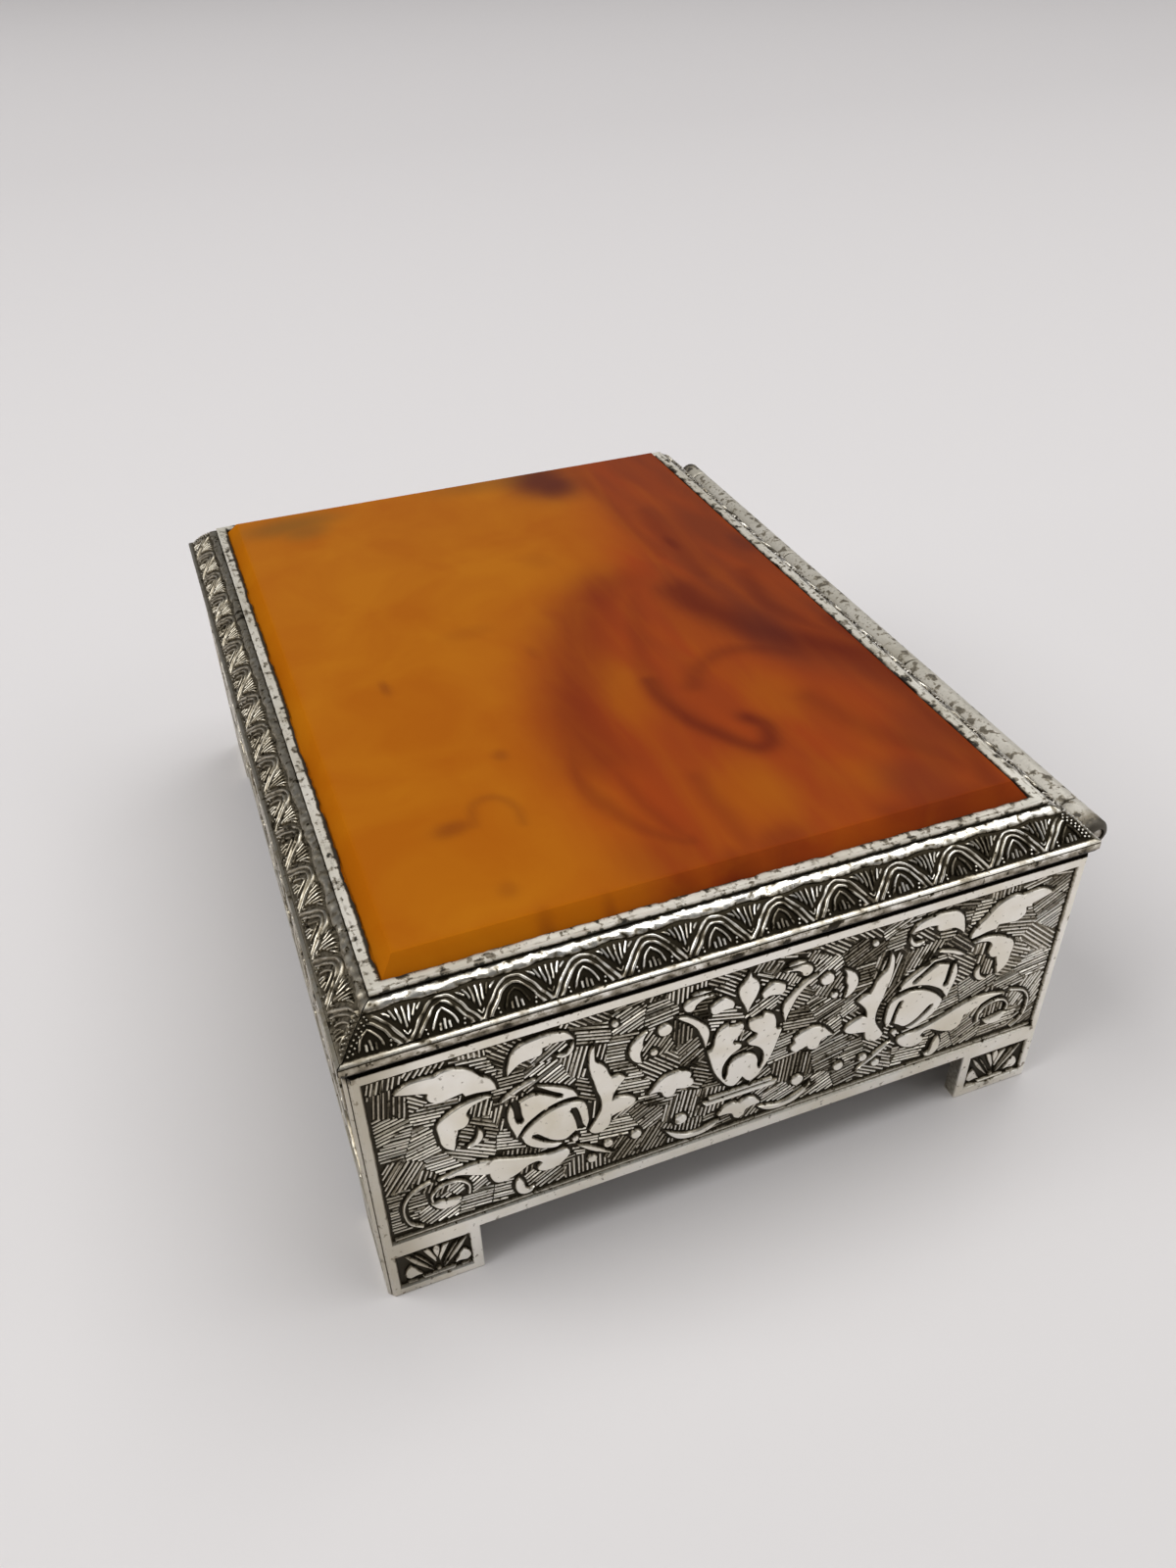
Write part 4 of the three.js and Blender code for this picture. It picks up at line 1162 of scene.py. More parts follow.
# %% Long lines of the face
COLUMN_STEP = 0.45
SEAM_STEPS, SEAM_POLISH = 8, 0.2


def moulding_rows(sheet, half, leaves, dull):
    """The long lines of the face, with the roll's scallops, dents and stains, and those up the mitres."""
    columns = 2 * round(half / COLUMN_STEP)
    rows, lefts, rights = [], [], []
    for index, (t, height, polish) in enumerate(FACE_ROWS):
        reach = half - face_place(t, height).x
        on_roll = index - ROLL_FROM
        row, shine = [], []
        for i in range(columns + 1):
            along = -reach + 2 * reach * i / columns
            turn = 2 * math.pi * leaves * (along + half + SOLDER_GAP) / (2 * (half + SOLDER_GAP))
            rise = scalloped(on_roll, along, turn) * min(1.0, reach - abs(along))
            row.append(Vector((along, t + rise)))
            shine.append(max(DARKEST, polish - stained(on_roll, along, t, dull)))
        dented = 0 < on_roll and index < len(FACE_ROWS) - 1
        heights = [height + (hammered(p) * min(1.0, reach - abs(p.x)) if dented else 0.0) for p in row]
        rows.append(sheet.add_line(row, heights, shine))
    low, high = FACE_ROWS[ROLL_FROM - 1][0], FACE_ROWS[ROLL_FROM][0]
    for i in range(1, SEAM_STEPS):
        t = low + (high - low) * i / SEAM_STEPS
        reach = half - face_place(t, FACE_GROUND).x
        lefts += sheet.add_line([Vector((-reach, t))], FACE_GROUND, SEAM_POLISH)
        rights += sheet.add_line([Vector((reach, t))], FACE_GROUND, SEAM_POLISH)
    for end, between in ((0, lefts), (-1, rights)):
        seam = [row[end] for row in rows[:ROLL_FROM]] + between + [row[end] for row in rows[ROLL_FROM:]]
        sheet.lines += zip(seam, seam[1:])
    return columns, rows, lefts, rights


# %% Leaves along the face
MITRE_CLEAR = 1.4
HAND_WANDER, STRAND_ROUGH, GROUND_ROUGH = 0.17, 0.05, 0.06
LEAST_KEPT, MOSTLY_KEPT, KEPT_SPREAD = 0.15, 0.75, 0.9
BEAD_RADIUS, BEAD_TOP = 0.2, 0.1
# Distance from the mitre, number of beads
SEAM_BEADS = ((0.54, 8), (1.04, 7))
SEAM_BEAD_FOOT, SEAM_BEAD_LEAN, SEAM_BEAD_PITCH = 0.5, 0.3, 0.53
GROUND_STEP, GROUND_CLEAR, GROUND_EDGE, GROUND_DARK = 0.5, 0.42, 0.3, 0.05
GROUND_LINES = (0.62, 1.1, 1.6, 2.1, 2.6, 3.1, 3.6, 4.1)


def rubbed_share(p):
    """How much of its polish a place kept: uneven, as if rubbed by hand."""
    return min(1.0, max(LEAST_KEPT, MOSTLY_KEPT + KEPT_SPREAD * rough(p, 0.9, 31)))


def hand_moved(p):
    """A place moved a little, as if the line had been cut by hand."""
    return p + Vector((rough(p, 0.7, 41), rough(p, 0.7, 43))) * (HAND_WANDER * min(1.0, p.y))


def moulding_relief(sheet, half, leaves):
    """Leaves, palmettes and beads along the face, clear of the mitres, and dark ground between them."""
    def room(p):
        return half - face_place(p.y).x - abs(p.x)

    taken, beads = [], []
    pitch = 2 * (half + SOLDER_GAP) / leaves
    for i in range(leaves):
        middle = Vector((-half - SOLDER_GAP + (i + 0.5) * pitch, 0))
        for line, height, polish in leaf_strands():
            kept = [hand_moved(p + middle) for p in line if room(p + middle) > MITRE_CLEAR]
            if len(kept) > 1:
                heights = [height + STRAND_ROUGH * rough(p, 1.3, 21) for p in kept]
                sheet.add_line(kept, heights, [polish * rubbed_share(p) for p in kept])
                taken += kept
        for line, width, ground, low, high, polish in leaf_ridges():
            kept = [hand_moved(p + middle) for p in line if room(p + middle) > MITRE_CLEAR]
            if len(kept) > 3:
                first, last = min(p.y for p in line), max(p.y for p in line)
                crest = [low + (high - low) * (p.y - first) / (last - first) for p in kept[1:-1]]
                raise_ridge(sheet, kept, width, ground, crest, polish * rubbed_share(kept[0]))
                taken += kept
        beads += [p + middle for p in leaf_beads() if room(p + middle) > MITRE_CLEAR + BEAD_RADIUS]
    for sign in (-1, 1):
        for offset, count in SEAM_BEADS:
            for i in range(count):
                t = SEAM_BEAD_FOOT + SEAM_BEAD_LEAN * offset + SEAM_BEAD_PITCH * i
                beads.append(Vector((sign * (half - face_place(t).x - offset), t)))
    for place in beads:
        raise_bead(sheet, place, BEAD_RADIUS, FACE_GROUND, BEAD_TOP)
        taken.append(place)
    busy = tree_of(taken)
    for i in range(int(2 * half / GROUND_STEP)):
        for t in GROUND_LINES:
            p = Vector((-half + GROUND_STEP * i, t))
            if room(p) > GROUND_EDGE and busy.find((p.x, p.y, 0))[2] > GROUND_CLEAR:
                sheet.add_line([p], FACE_GROUND + GROUND_ROUGH * rough(p, 1, 4), GROUND_DARK)


# %% Fill and bend the face
EVENLY_WORN, HALF_POLISH = {"front": 0.45}, 0.5


def build_moulding(side, leaves):
    """One moulding: its face laid out flat, filled, bent over the swell and closed behind."""
    half = LID_OUT["right" if side in ("front", "back") else "front"] - SOLDER_GAP
    out = LID_OUT[side]
    sheet = ChasedSheet()
    columns, rows, lefts, rights = moulding_rows(sheet, half, leaves, DULL_ROLL.get(side, 0.0))
    moulding_relief(sheet, half, leaves)
    places, heights, polish, faces, went = sheet.fill()
    even = EVENLY_WORN.get(side, 0.0)
    polish = [shine + even * (HALF_POLISH - shine) for shine in polish]
    points = []
    for p, h in zip(places, heights):
        inset, level = face_place(p.y, h)
        points.append(from_side(side, p.x, out - inset, level))
    rows = [[went[i] for i in row] for row in rows]
    seams = [went[i] for i in lefts], [went[i] for i in rights]
    finish_moulding(side, half, columns, points, polish, faces, rows, seams)


# %% Behind the chased face
FLANGE_IN, RABBET_IN, FLANGE_TOP = 8.2, 5.7, LID_BOTTOM + 2.0
# Inset from the lid's side, level, polish
SECTION_BEHIND = (
    (0.44, BAND_TOP + 0.1, 0.7), (0.06, BAND_TOP - 0.03, 0.8), (0.0, BAND_TOP - 0.1, 0.7),
    (0.07, BAND_TOP - 0.2, 0.03), (0.07, BAND_TOP - 0.28, 0.03), (0.0, BAND_TOP - 0.38, 0.6),
    (0.0, BAND_TOP - 0.8, 0.5), (0.0, LID_BOTTOM + 0.58, 0.42), (0.12, LID_BOTTOM + 0.42, 0.04),
    (0.35, LID_BOTTOM, 0.02), (1.2, LID_BOTTOM, 0.45), (4.7, LID_BOTTOM, 0.6),
    (FLANGE_IN, LID_BOTTOM, 0.65), (FLANGE_IN, FLANGE_TOP, 0.5), (RABBET_IN, FLANGE_TOP, 0.4),
    (RABBET_IN, SEAT_LEVEL, 0.3),
)
REBATE_HALF, REBATE_DEPTH, REBATE_RISE = 62.7, 4.7, 0.65
FLAKED_WITHIN, FLAKED_OVER, FLAKE_DEPTH = 1, 0.3, 0.5


def band_flakes(along, level):
    """Patches of the plain band where the plate is off."""
    return FLAKE_DEPTH * noise.noise((along * 0.6, level * 1.2, 3))


def finish_moulding(side, half, columns, points, polish, faces, rows, seams):
    """The bead, plain band, underside and seat behind the chased face, and the mitred ends."""
    previous = rows[0]
    caps = [[rows[0][0]], [rows[0][-1]]]
    for inset, level, shine in SECTION_BEHIND:
        reach = half - inset
        first = len(points)
        for i in range(columns + 1):
            along = -reach + 2 * reach * i / columns
            rebated = side == "back" and abs(along) < REBATE_HALF and inset <= REBATE_DEPTH
            height = max(level, LID_BOTTOM + REBATE_RISE) if rebated else level
            points.append(from_side(side, along, LID_OUT[side] - inset, height))
            flaked = inset < FLAKED_WITHIN and shine > FLAKED_OVER
            polish.append(shine + (band_flakes(along, level) if flaked else 0.0))
        current = list(range(first, first + columns + 1))
        for i in range(columns):
            faces.append((previous[i], previous[i + 1], current[i + 1], current[i]))
        caps[0].append(current[0])
        caps[1].append(current[-1])
        previous = current
    for i in range(columns):
        faces.append((previous[i], previous[i + 1], rows[-1][i + 1], rows[-1][i]))
    for cap, end, between in zip(caps, (0, -1), seams):
        edge = [row[end] for row in rows[1:ROLL_FROM]] + between + [row[end] for row in rows[ROLL_FROM:]]
        faces.append(tuple(cap + edge[::-1]))
    name = "lid_" + side + "_moulding"
    make_piece(name + "_chased", points, faces, PLATING, "lid", name, {"polish": polish})
    print(name, len(faces), "faces")


for side, leaves in (("front", 16), ("right", 12), ("back", 16), ("left", 12)):
    build_moulding(side, leaves)

# %% [markdown]
# ## The flat rim
#
# A soft strip is pressed down over the edge of the slab to hold it. Its plate has flaked, its inner edge
# is ragged, at the front it is painted darker along its gap to the slab as shade and grime, and the front
# side has a dent. A bevelled frame would be too even, so the strip is a few closed loops of points round
# the slab, pushed about by noise where the strip is worn.

# %% Loops round the lid
def frame_loop(out_x, out_y, inset, step):
    """Points round a rectangle that lies so far in from the lid's outer faces, with its corners."""
    x, y = out_x - inset, out_y - inset
    corners = [Vector((-x, -y)), Vector((x, -y)), Vector((x, y)), Vector((-x, y))]
    counts = [round(2 * (out_x if i % 2 == 0 else out_y) / step) for i in range(4)]
    return divided(corners, counts)


def loft_loops(loops):
    """Faces between closed loops that all have the same number of points."""
    faces, count = [], len(loops[0])
    for first, second in zip(loops, loops[1:]):
        for i in range(count):
            j = (i + 1) % count
            faces.append((first[i], first[j], second[j], second[i]))
    return faces


# %% Rim
RIM_PLATING = plated_finish(
    "rim_plating", bright=(0.80, 0.765, 0.68, 1), tarnished=(0.62, 0.58, 0.48, 1),
    dark=(0.03, 0.027, 0.02, 1), smoothest=0.5, worn=0.08, metallic=0.45, flake_mm=1.2,
)
RIM_STEP = 0.6
RIM_OUT, RIM_IN, RIM_FIRM = FACE_HEAD.x, 7.05, FACE_HEAD.x + 0.75
# Inset from the lid's side, rise over the seat, polish
RIM_SECTION = (
    (RIM_OUT + 0.05, 0.0, 0.05), (RIM_OUT, 0.1, 0.2), (RIM_OUT, 0.36, 0.7), (RIM_OUT + 0.1, 0.5, 1.0),
    (RIM_OUT + 0.28, 0.5, 1.0), (RIM_OUT + 0.48, 0.46, 0.75), (RIM_FIRM, 0.48, 0.9),
    (RIM_IN - 0.6, 0.48, 0.85), (RIM_IN - 0.32, 0.46, 0.6), (RIM_IN - 0.1, 0.38, 0.2),
    (RIM_IN, 0.2, 0.03), (RIM_IN - 0.05, 0.0, 0.03),
)
RAGGED_PULL, SMALL_RAGS, MOST_PULL = 0.45, 0.5, 0.6
SINK, SINKS_OVER = 0.1, 0.3
DENT_X, DENT_RUN, DENT_REACH, DENT_PULL, DENT_SINK = 12, 5, 60, 0.3, 0.16
# Painted shade and grime along the rim's inner edge at the front, and how far in it reaches
GAP_SHADE_AND_GRIME, GAP_SHADE_RUN = 0.6, 0.5
SPOT_DEPTH, BRIGHTEST_SPOT = 0.5, 0.2


def toward_side(p):
    """The way from the lid's middle out to the side that a place lies on."""
    on_end = abs(p.x) / LID_OUT["right"] > abs(p.y) / LID_OUT["front"]
    return Vector((p.x, 0)) if on_end else Vector((0, p.y))


def build_rim():
    """Loops of the section, pulled back where the edge is ragged and sunk where it is beaten down."""
    points, polish, loops = [], [], []
    for inset, rise, shine in RIM_SECTION:
        first = len(points)
        loose = max(0.0, inset - RIM_FIRM) / (RIM_IN - RIM_FIRM)
        for p in frame_loop(LID_OUT["right"], LID_OUT["front"], inset, RIM_STEP):
            dented = p.y < 0 and abs(p.x) < DENT_REACH
            dent = math.exp(-((p.x - DENT_X) / DENT_RUN) ** 2) if dented else 0.0
            ragged = max(0.0, rough(p, 0.5, 3)) + SMALL_RAGS * max(0.0, rough(p, 1.3, 8))
            side = toward_side(p)
            pull = min(MOST_PULL, RAGGED_PULL * ragged + DENT_PULL * dent) * loose
            place = p + side.normalized() * pull
            beaten = SINK * max(0.0, rough(p, 0.3, inset)) + DENT_SINK * dent
            sink = beaten if rise > SINKS_OVER else 0.0
            points.append((place.x, place.y + MIDDLE_Y, bezel_low.z + rise - sink))
            # Painted shade and grime: at the front the rim's inner edge is darker along its gap to the
            # slab.
            gap_shade = GAP_SHADE_AND_GRIME if side.y < 0 and inset > RIM_IN - GAP_SHADE_RUN else 0.0
            polish.append(shine - gap_shade + SPOT_DEPTH * min(BRIGHTEST_SPOT, rough(p, 0.7, inset)))
        loops.append(list(range(first, len(points))))
    faces = loft_loops(loops + [loops[0]])
    make_piece("flat_rim", points, faces, RIM_PLATING, "lid", "slab_bezel", {"polish": polish})
    print("rim", len(faces), "faces")


build_rim()

# %% [markdown]
# ## The amber slab
#
# The top is poured resin: clear orange on the front half, and on the hinge side red-brown smoke that was
# stirred in before it set. Noise alone would put the smoke anywhere, but here it has a drawn shape. So a
# fine grid over the slab stores how smoky, how dark, how violet and how green each point is, and the
# shader adds only the wisps between them. The top is polished and the bevels are left dull.

# %% Where the smoke starts, and where it turns deep
SMOKE_EDGE = [
    (-66, 21), (-44.6, 20.9), (-34, 19.1), (-24.5, 17.3), (-16.3, 13.2), (-9.2, 4.9), (-0.9, -2.2),
    (7.3, -8), (16.8, -10.4), (26.2, -11.6), (36.8, -13.4), (46.3, -13.6), (54.5, -12), (62, -11),
]
DEEP_EDGE = [
    (-66, 20), (-51.7, 20.3), (-28, 20.9), (-10.4, 19.1), (2.6, 17.5), (16.8, 23.5), (26.2, 29.5),
    (38, 34.5), (49.8, 39.1), (62, 40),
]

# %% Veins: a line, a width and a depth
VEINS = (
    ([(-11.6, 10.8), (-2.1, 2.6), (7.3, -2.7), (16.8, -6.3), (26.2, -8), (33.3, -8.6)], 5.5, 0.5),
    ([(28.6, -10.4), (36.8, -12.2), (45.1, -11), (51, -7.5), (53.4, -4.3)], 1.6, 0.45),
    ([(30.9, -6.9), (39.2, -7.5), (46.3, -6.6), (52.8, -4.5)], 1.3, 0.35),
    ([(-6.8, 13.2), (2.6, 9.7), (12, 6.3), (19.1, 4.9)], 2.2, 0.3),
    ([(19.1, 4.9), (27.4, 5.9), (34.5, 8.5), (39.8, 11.8), (39.4, 14.4), (35.9, 16.1), (32.7, 14.6)],
     1.7, 0.72),
    ([(22.7, 10.8), (17.9, 13.8), (15, 19.1), (16.2, 25), (19.1, 29.7)], 1.8, 0.45),
    ([(-4, 20), (2.6, 21.5), (8, 24.6), (12, 27.6), (17.9, 32.6), (25, 37.2), (34, 40)], 3.6, 0.9),
    ([(-34, 26.7), (-20, 26.9), (-7, 26.7)], 1.8, 0.35),
    ([(-6.8, 33.2), (2.6, 32), (12, 34.4), (21.5, 38.5)], 1.6, 0.45),
    ([(-56, 22.6), (-36, 22.4), (-16, 22.6)], 1.5, 0.25),
    ([(30.9, 25), (39.2, 27.3), (47.5, 32), (54.5, 36.8)], 2.2, 0.35),
    ([(42.7, 1.4), (54.5, 2), (59.2, 1.4)], 1.5, 0.3),
    ([(14, 39), (36, 38.8), (52, 38.4), (58, 37)], 2.2, 0.6),
    ([(58.5, 37), (58.8, 28), (58.4, 20)], 2.4, 0.4),
    ([(41, -28.7), (36.8, -27), (36.2, -24), (39.2, -22.2), (43.3, -22.8)], 0.8, 0.3),
)

# %% Soft spots: a place, a reach along and across, and a depth
SMUDGES = (
    ((-55, 13.5), (9, 7), 0.95), ((-52, 15), (7, 6), 0.95), ((11, 28), (7, 4.5), 0.55),
    ((-16.3, 37.4), (4, 2), 0.5), ((53.3, 28.5), (5, 6), 0.4), ((45, 34.4), (8, 4), 0.35),
    ((44.9, 32.6), (0.3, 0.3), 0.95),
)
SPOTS = (
    ((-19.8, 26.7), (4, 1.2), 0.7), ((59.2, -1), (3, 4), 0.5), ((53, -4.4), (1.6, 1.2), 0.45),
    ((40.4, -31), (1.7, 2.4), 0.45), ((6.1, -30.8), (2.2, 0.9), 0.45), ((5, -8), (2.5, 1.5), 0.3),
    ((56, -8), (7, 7), 0.3), ((28, -20.4), (1.3, 1), 0.35), ((54.5, -28.7), (1.6, 1.3), 0.28),
    ((-4.5, -15.1), (2, 4), 0.12), ((-23.4, 2.6), (3, 3), 0.12), ((61, -25.7), (2.5, 1.2), 0.4),
    ((61, -17.5), (2.5, 1.0), 0.35), ((61, -8), (4, 3), 0.55), ((61, -1), (5, 3), 0.65),
    ((58, 6), (3, 4), 0.4),
)
CLEARINGS = (
    ((19.1, 0.8), (10, 3.5), 0.5), ((28.6, 21.4), (8, 5), 0.35), ((48.6, 7.3), (8, 5), 0.5),
    ((49.8, 21.4), (5, 5), 0.25),
)
GREENISH = (((-54, -34), (4, 8), 0.7), ((-51, -32), (4, 4), 0.6), ((-58, 2), (4, 9), 0.4))
print(len(VEINS), "veins and", len(SMUDGES + SPOTS + CLEARINGS + GREENISH), "soft spots")


# %% How smoky a place is
def level_at(line, x):
    """The second number of a line at a given first number."""
    for (x0, y0), (x1, y1) in zip(line, line[1:]):
        if x0 <= x <= x1:
            return y0 + (y1 - y0) * (x - x0) / (x1 - x0)
    return line[0][1] if x < line[0][0] else line[-1][1]


def soft_step(value, low, high):
    """From 0 at the low value to 1 at the high one, with soft ends."""
    share = min(1.0, max(0.0, (value - low) / (high - low)))
    return share * share * (3 - 2 * share)


def strongest(spots, u, v):
    """The deepest of several soft spots at a place."""
    away = [math.hypot((u - x) / along, (v - y) / across) for (x, y), (along, across), _ in spots]
    return max(spot[2] * math.exp(-far ** 3) for spot, far in zip(spots, away))


WIDE_DRIFT, FINE_DRIFT, ACROSS_LAYER = 1.6, 0.35, 10
HAZE_SHARE, HAZE_RUN = 0.3, (-24, 0)
SMOKE_SHARE, SMOKE_RUN = 0.7, (-9, 8)
DUSK_SHARE, DUSK_RUN = 0.36, (2, 16)
DEEP_SHARE, DEEP_RUN = 0.64, (-5, 6)
STREAK, STREAK_SPREAD = 0.82, 0.45
VEIN_STEP = 0.5
VEIN_TREES = [(tree_of(smooth_edge(line, VEIN_STEP)), width, depth) for line, width, depth in VEINS]


def drift_at(x, y, layer):
    """Two noises that move a place along and across, the same in every run."""
    return Vector((noise.noise((x, y, layer)), noise.noise((x, y, layer + ACROSS_LAYER))))


def smoke_at(x, y):
    """Smoke, deep smoke, dark vein, violet and green shares at a place on the slab."""
    drift = drift_at(x * 0.045, y * 0.06, 2) * WIDE_DRIFT + drift_at(x * 0.15, y * 0.2, 5) * FINE_DRIFT
    u, v = x + drift.x, y + drift.y
    lifted = 1.0 - strongest(CLEARINGS, u, v)
    toward = v - level_at(SMOKE_EDGE, u)
    haze = HAZE_SHARE * soft_step(toward, *HAZE_RUN)
    smoke = (haze + SMOKE_SHARE * soft_step(toward, *SMOKE_RUN)) * lifted
    beyond = v - level_at(DEEP_EDGE, u)
    dusk = DUSK_SHARE * soft_step(toward, *DUSK_RUN)
    deep = (dusk + DEEP_SHARE * soft_step(beyond, *DEEP_RUN)) * lifted
    streak = STREAK + STREAK_SPREAD * noise.noise((u * 0.05 + v * 0.02, v * 0.3 - u * 0.06, 7))
    deep *= min(1.0, streak)
    veins = [(line.find((u, v, 0))[2] / width, depth) for line, width, depth in VEIN_TREES]
    vein = max(depth * math.exp(-(away ** 2)) for away, depth in veins)
    vein = max(vein, strongest(SPOTS, u, v))
    return smoke, deep, vein, strongest(SMUDGES, u, v), strongest(GREENISH, u, v)


# %% Resin
CLEAR_DARK, CLEAR_LIGHT = (0.405, 0.110, 0.0035, 1), (0.455, 0.143, 0.005, 1)
RIPPLED_TONES = {
    "smoke": (0.335, 0.052, 0.007, 1), "deep": (0.19, 0.035, 0.010, 1), "vein": (0.120, 0.016, 0.006, 1),
}
EVEN_TONES = {"violet": (0.100, 0.021, 0.012, 1), "green": (0.20, 0.088, 0.014, 1)}


def resin_finish():
    """Clear resin under what the points store, with ripples in the smoke and a gloss on top."""
    material, tree, shader = open_material("amber_resin")

    def stored(label):
        return add_node(tree, "ShaderNodeAttribute", attribute_name=label).outputs["Fac"]

    wisps = grain(tree, 7, detail=4, stretch=(0.22, 1, 1), distortion=0.8)
    haze = grain(tree, 15, detail=4, distortion=0.5)
    tone = blend_colours(tree, span(tree, haze, 0.35, 0.65), CLEAR_DARK, CLEAR_LIGHT)
    ripple = span(tree, wisps, 0.3, 0.7, 0.75, 1.12)
    for label, colour in RIPPLED_TONES.items():
        tone = blend_colours(tree, combine(tree, stored(label), ripple, "MULTIPLY"), tone, colour)
    for label, colour in EVEN_TONES.items():
        tone = blend_colours(tree, stored(label), tone, colour)
    rub = grain(tree, 0.6, detail=3, stretch=(0.2, 1, 1))
    wire(tree, shader, {
        "Base Color": tone,
        "Roughness": span(tree, grain(tree, 20), 0.3, 0.7, 0.10, 0.17),
        "IOR": 1.54,
        "Specular IOR Level": span(tree, stored("gloss"), 0.0, 1.0, 0.0, 0.14),
        "Normal": relief_bump(tree, rub, 0.004, 0.15),
    })
    return material


# %% Build the slab
SLAB_STEP = 0.75
SLAB_TOP_EDGE, EDGE_SLACK = 8.87, 0.01
# Inset from the lid's side, level
SLAB_SECTION = (
    (8.83, slab_high.z - 0.03), (8.2, slab_high.z - 0.81), (7.6, slab_high.z - 1.56),
    (7.09, slab_high.z - 2.2), (6.95, slab_high.z - 2.25), (5.9, slab_high.z - 2.25), (5.9, slab_low.z),
)


def build_slab():
    """A grid for the top, loops down the bevel and the edge, and the smoke stored on every point."""
    half_x, half_y = LID_OUT["right"] - SLAB_TOP_EDGE, LID_OUT["front"] - SLAB_TOP_EDGE
    columns, rows = (round(2 * LID_OUT[side] / SLAB_STEP) for side in ("right", "front"))
    points, faces = [], []
    for r in range(rows + 1):
        for c in range(columns + 1):
            x, y = -half_x + 2 * half_x * c / columns, -half_y + 2 * half_y * r / rows
            points.append((x, y + MIDDLE_Y, slab_high.z))
    wide = columns + 1
    for r in range(rows):
        for c in range(columns):
            a = r * wide + c
            faces.append((a, a + 1, a + 1 + wide, a + wide))
    border = list(range(columns)) + [r * wide + columns for r in range(rows)]
    border += [rows * wide + c for c in range(columns, 0, -1)] + [r * wide for r in range(rows, 0, -1)]
    loops = [border]
    for inset, level in SLAB_SECTION:
        first = len(points)
        loop = frame_loop(LID_OUT["right"], LID_OUT["front"], inset, SLAB_STEP)
        points += [(p.x, p.y + MIDDLE_Y, level) for p in loop]
        loops.append(list(range(first, len(points))))
    faces += loft_loops(loops) + [tuple(reversed(loops[-1]))]
    shares = zip(*(smoke_at(p[0], p[1]) for p in points))
    values = dict(zip((*RIPPLED_TONES, *EVEN_TONES), shares))
    inner_x, inner_y = half_x - EDGE_SLACK, half_y - EDGE_SLACK
    glossy = [abs(x) < inner_x and abs(y - MIDDLE_Y) < inner_y for x, y, _ in points]
    values["gloss"] = [float(on_top) for on_top in glossy]
    resin = resin_finish()
    make_piece("amber_top", points, faces, resin, "lid", "amber_slab", values, crease=25)
    print("slab", len(faces), "faces")


build_slab()

# %% [markdown]
# ## The hinge
#
# Five knuckles share one pin: three belong to the case and two to the lid. Each leaf is a strip let into
# its edge with short tongues up to its knuckles. A bevelled cylinder would do for a knuckle, but each is
# turned here from its own section, so it gets its bore and the worn chamfer that shows as a dark line
# between two knuckles, and the two ends of the barrel are well rounded.

# %% Hinge sizes and finish
pin_low, pin_high = node_box("hinge_pin")
AXIS_Y, AXIS_Z = (pin_low.y + pin_high.y) / 2, (pin_low.z + pin_high.z) / 2
BARREL_RADIUS = node_box("hinge_body_leaf")[1].y - AXIS_Y
PIN_RADIUS = (pin_high.y - pin_low.y) / 2
PIN_PLAY = 0.15
BORE_RADIUS = PIN_RADIUS + PIN_PLAY
KNUCKLE_ENDS = (-64.5, -58.5, -20.0, 20.0, 58.5, 64.5)
KNUCKLE_GAP = 0.3
HINGE_PLATING = plated_finish(
    "hinge_plating", bright=(0.70, 0.66, 0.58, 1), tarnished=(0.54, 0.50, 0.41, 1),
    dark=(0.09, 0.078, 0.06, 1), smoothest=0.46, worn=0.08, metallic=0.5, flake_mm=1.5,
)
print("barrel radius", BARREL_RADIUS, "pin radius", PIN_RADIUS)


# %% Turned rings and plain blocks
def turned(section, sides=40):
    """A closed ring turned about the hinge line from (x, radius) pairs."""
    points, faces = [], []
    for k in range(sides):
        turn = 2 * math.pi * k / sides
        points += [(x, AXIS_Y + r * math.cos(turn), AXIS_Z + r * math.sin(turn)) for x, r in section]
    count = len(section)
    for k in range(sides):
        for i in range(count):
            a, b = k * count + i, k * count + (i + 1) % count
            c, d = (k + 1) % sides * count + (i + 1) % count, (k + 1) % sides * count + i
            faces.append((a, b, c, d))
    return points, faces


def block(low, high):
    """A plain box."""
    x0, y0, z0 = low
    x1, y1, z1 = high
    points = [(x0, y0, z0), (x1, y0, z0), (x1, y1, z0), (x0, y1, z0)]
    points += [(x, y, z1) for x, y, _ in points]
    sides = [(0, 1, 5, 4), (1, 2, 6, 5), (2, 3, 7, 6), (3, 0, 4, 7)]
    return points, [(3, 2, 1, 0), (4, 5, 6, 7), *sides]


# %% Knuckles and leaves
# Run from the end, drop below the barrel's radius
BARREL_END = ((0.0, 0.8), (0.2, 0.35), (0.6, 0.05))
KNUCKLE_END = ((0.0, 0.18), (0.09, 0.08), (0.18, 0.02))
KNUCKLE_STEPS = 8
TONGUE_IN, TONGUE_LAP, TONGUE_SHORT = 0.2, 0.1, 1.3
BARREL_POLISH, END_GRIME, GRIMY_FROM, GRIMY_TO = 0.8, 0.7, 4, 0.4


def rounded_end(x, inward):
    """How a knuckle runs out: well rounded at the ends of the barrel, a small chamfer elsewhere."""
    profile = BARREL_END if abs(x) == KNUCKLE_ENDS[-1] else KNUCKLE_END
    return [(x + run * inward, BARREL_RADIUS - drop) for run, drop in profile]


def knuckle_section(start, end):
    """The section of a knuckle, from one end of its bore over the outside to the other."""
    middle = [start + (end - start) * i / KNUCKLE_STEPS for i in range(1, KNUCKLE_STEPS)]
    outside = rounded_end(start, 1) + [(x, BARREL_RADIUS) for x in middle] + rounded_end(end, -1)[::-1]
    return [(start, BORE_RADIUS), *outside, (end, BORE_RADIUS)]


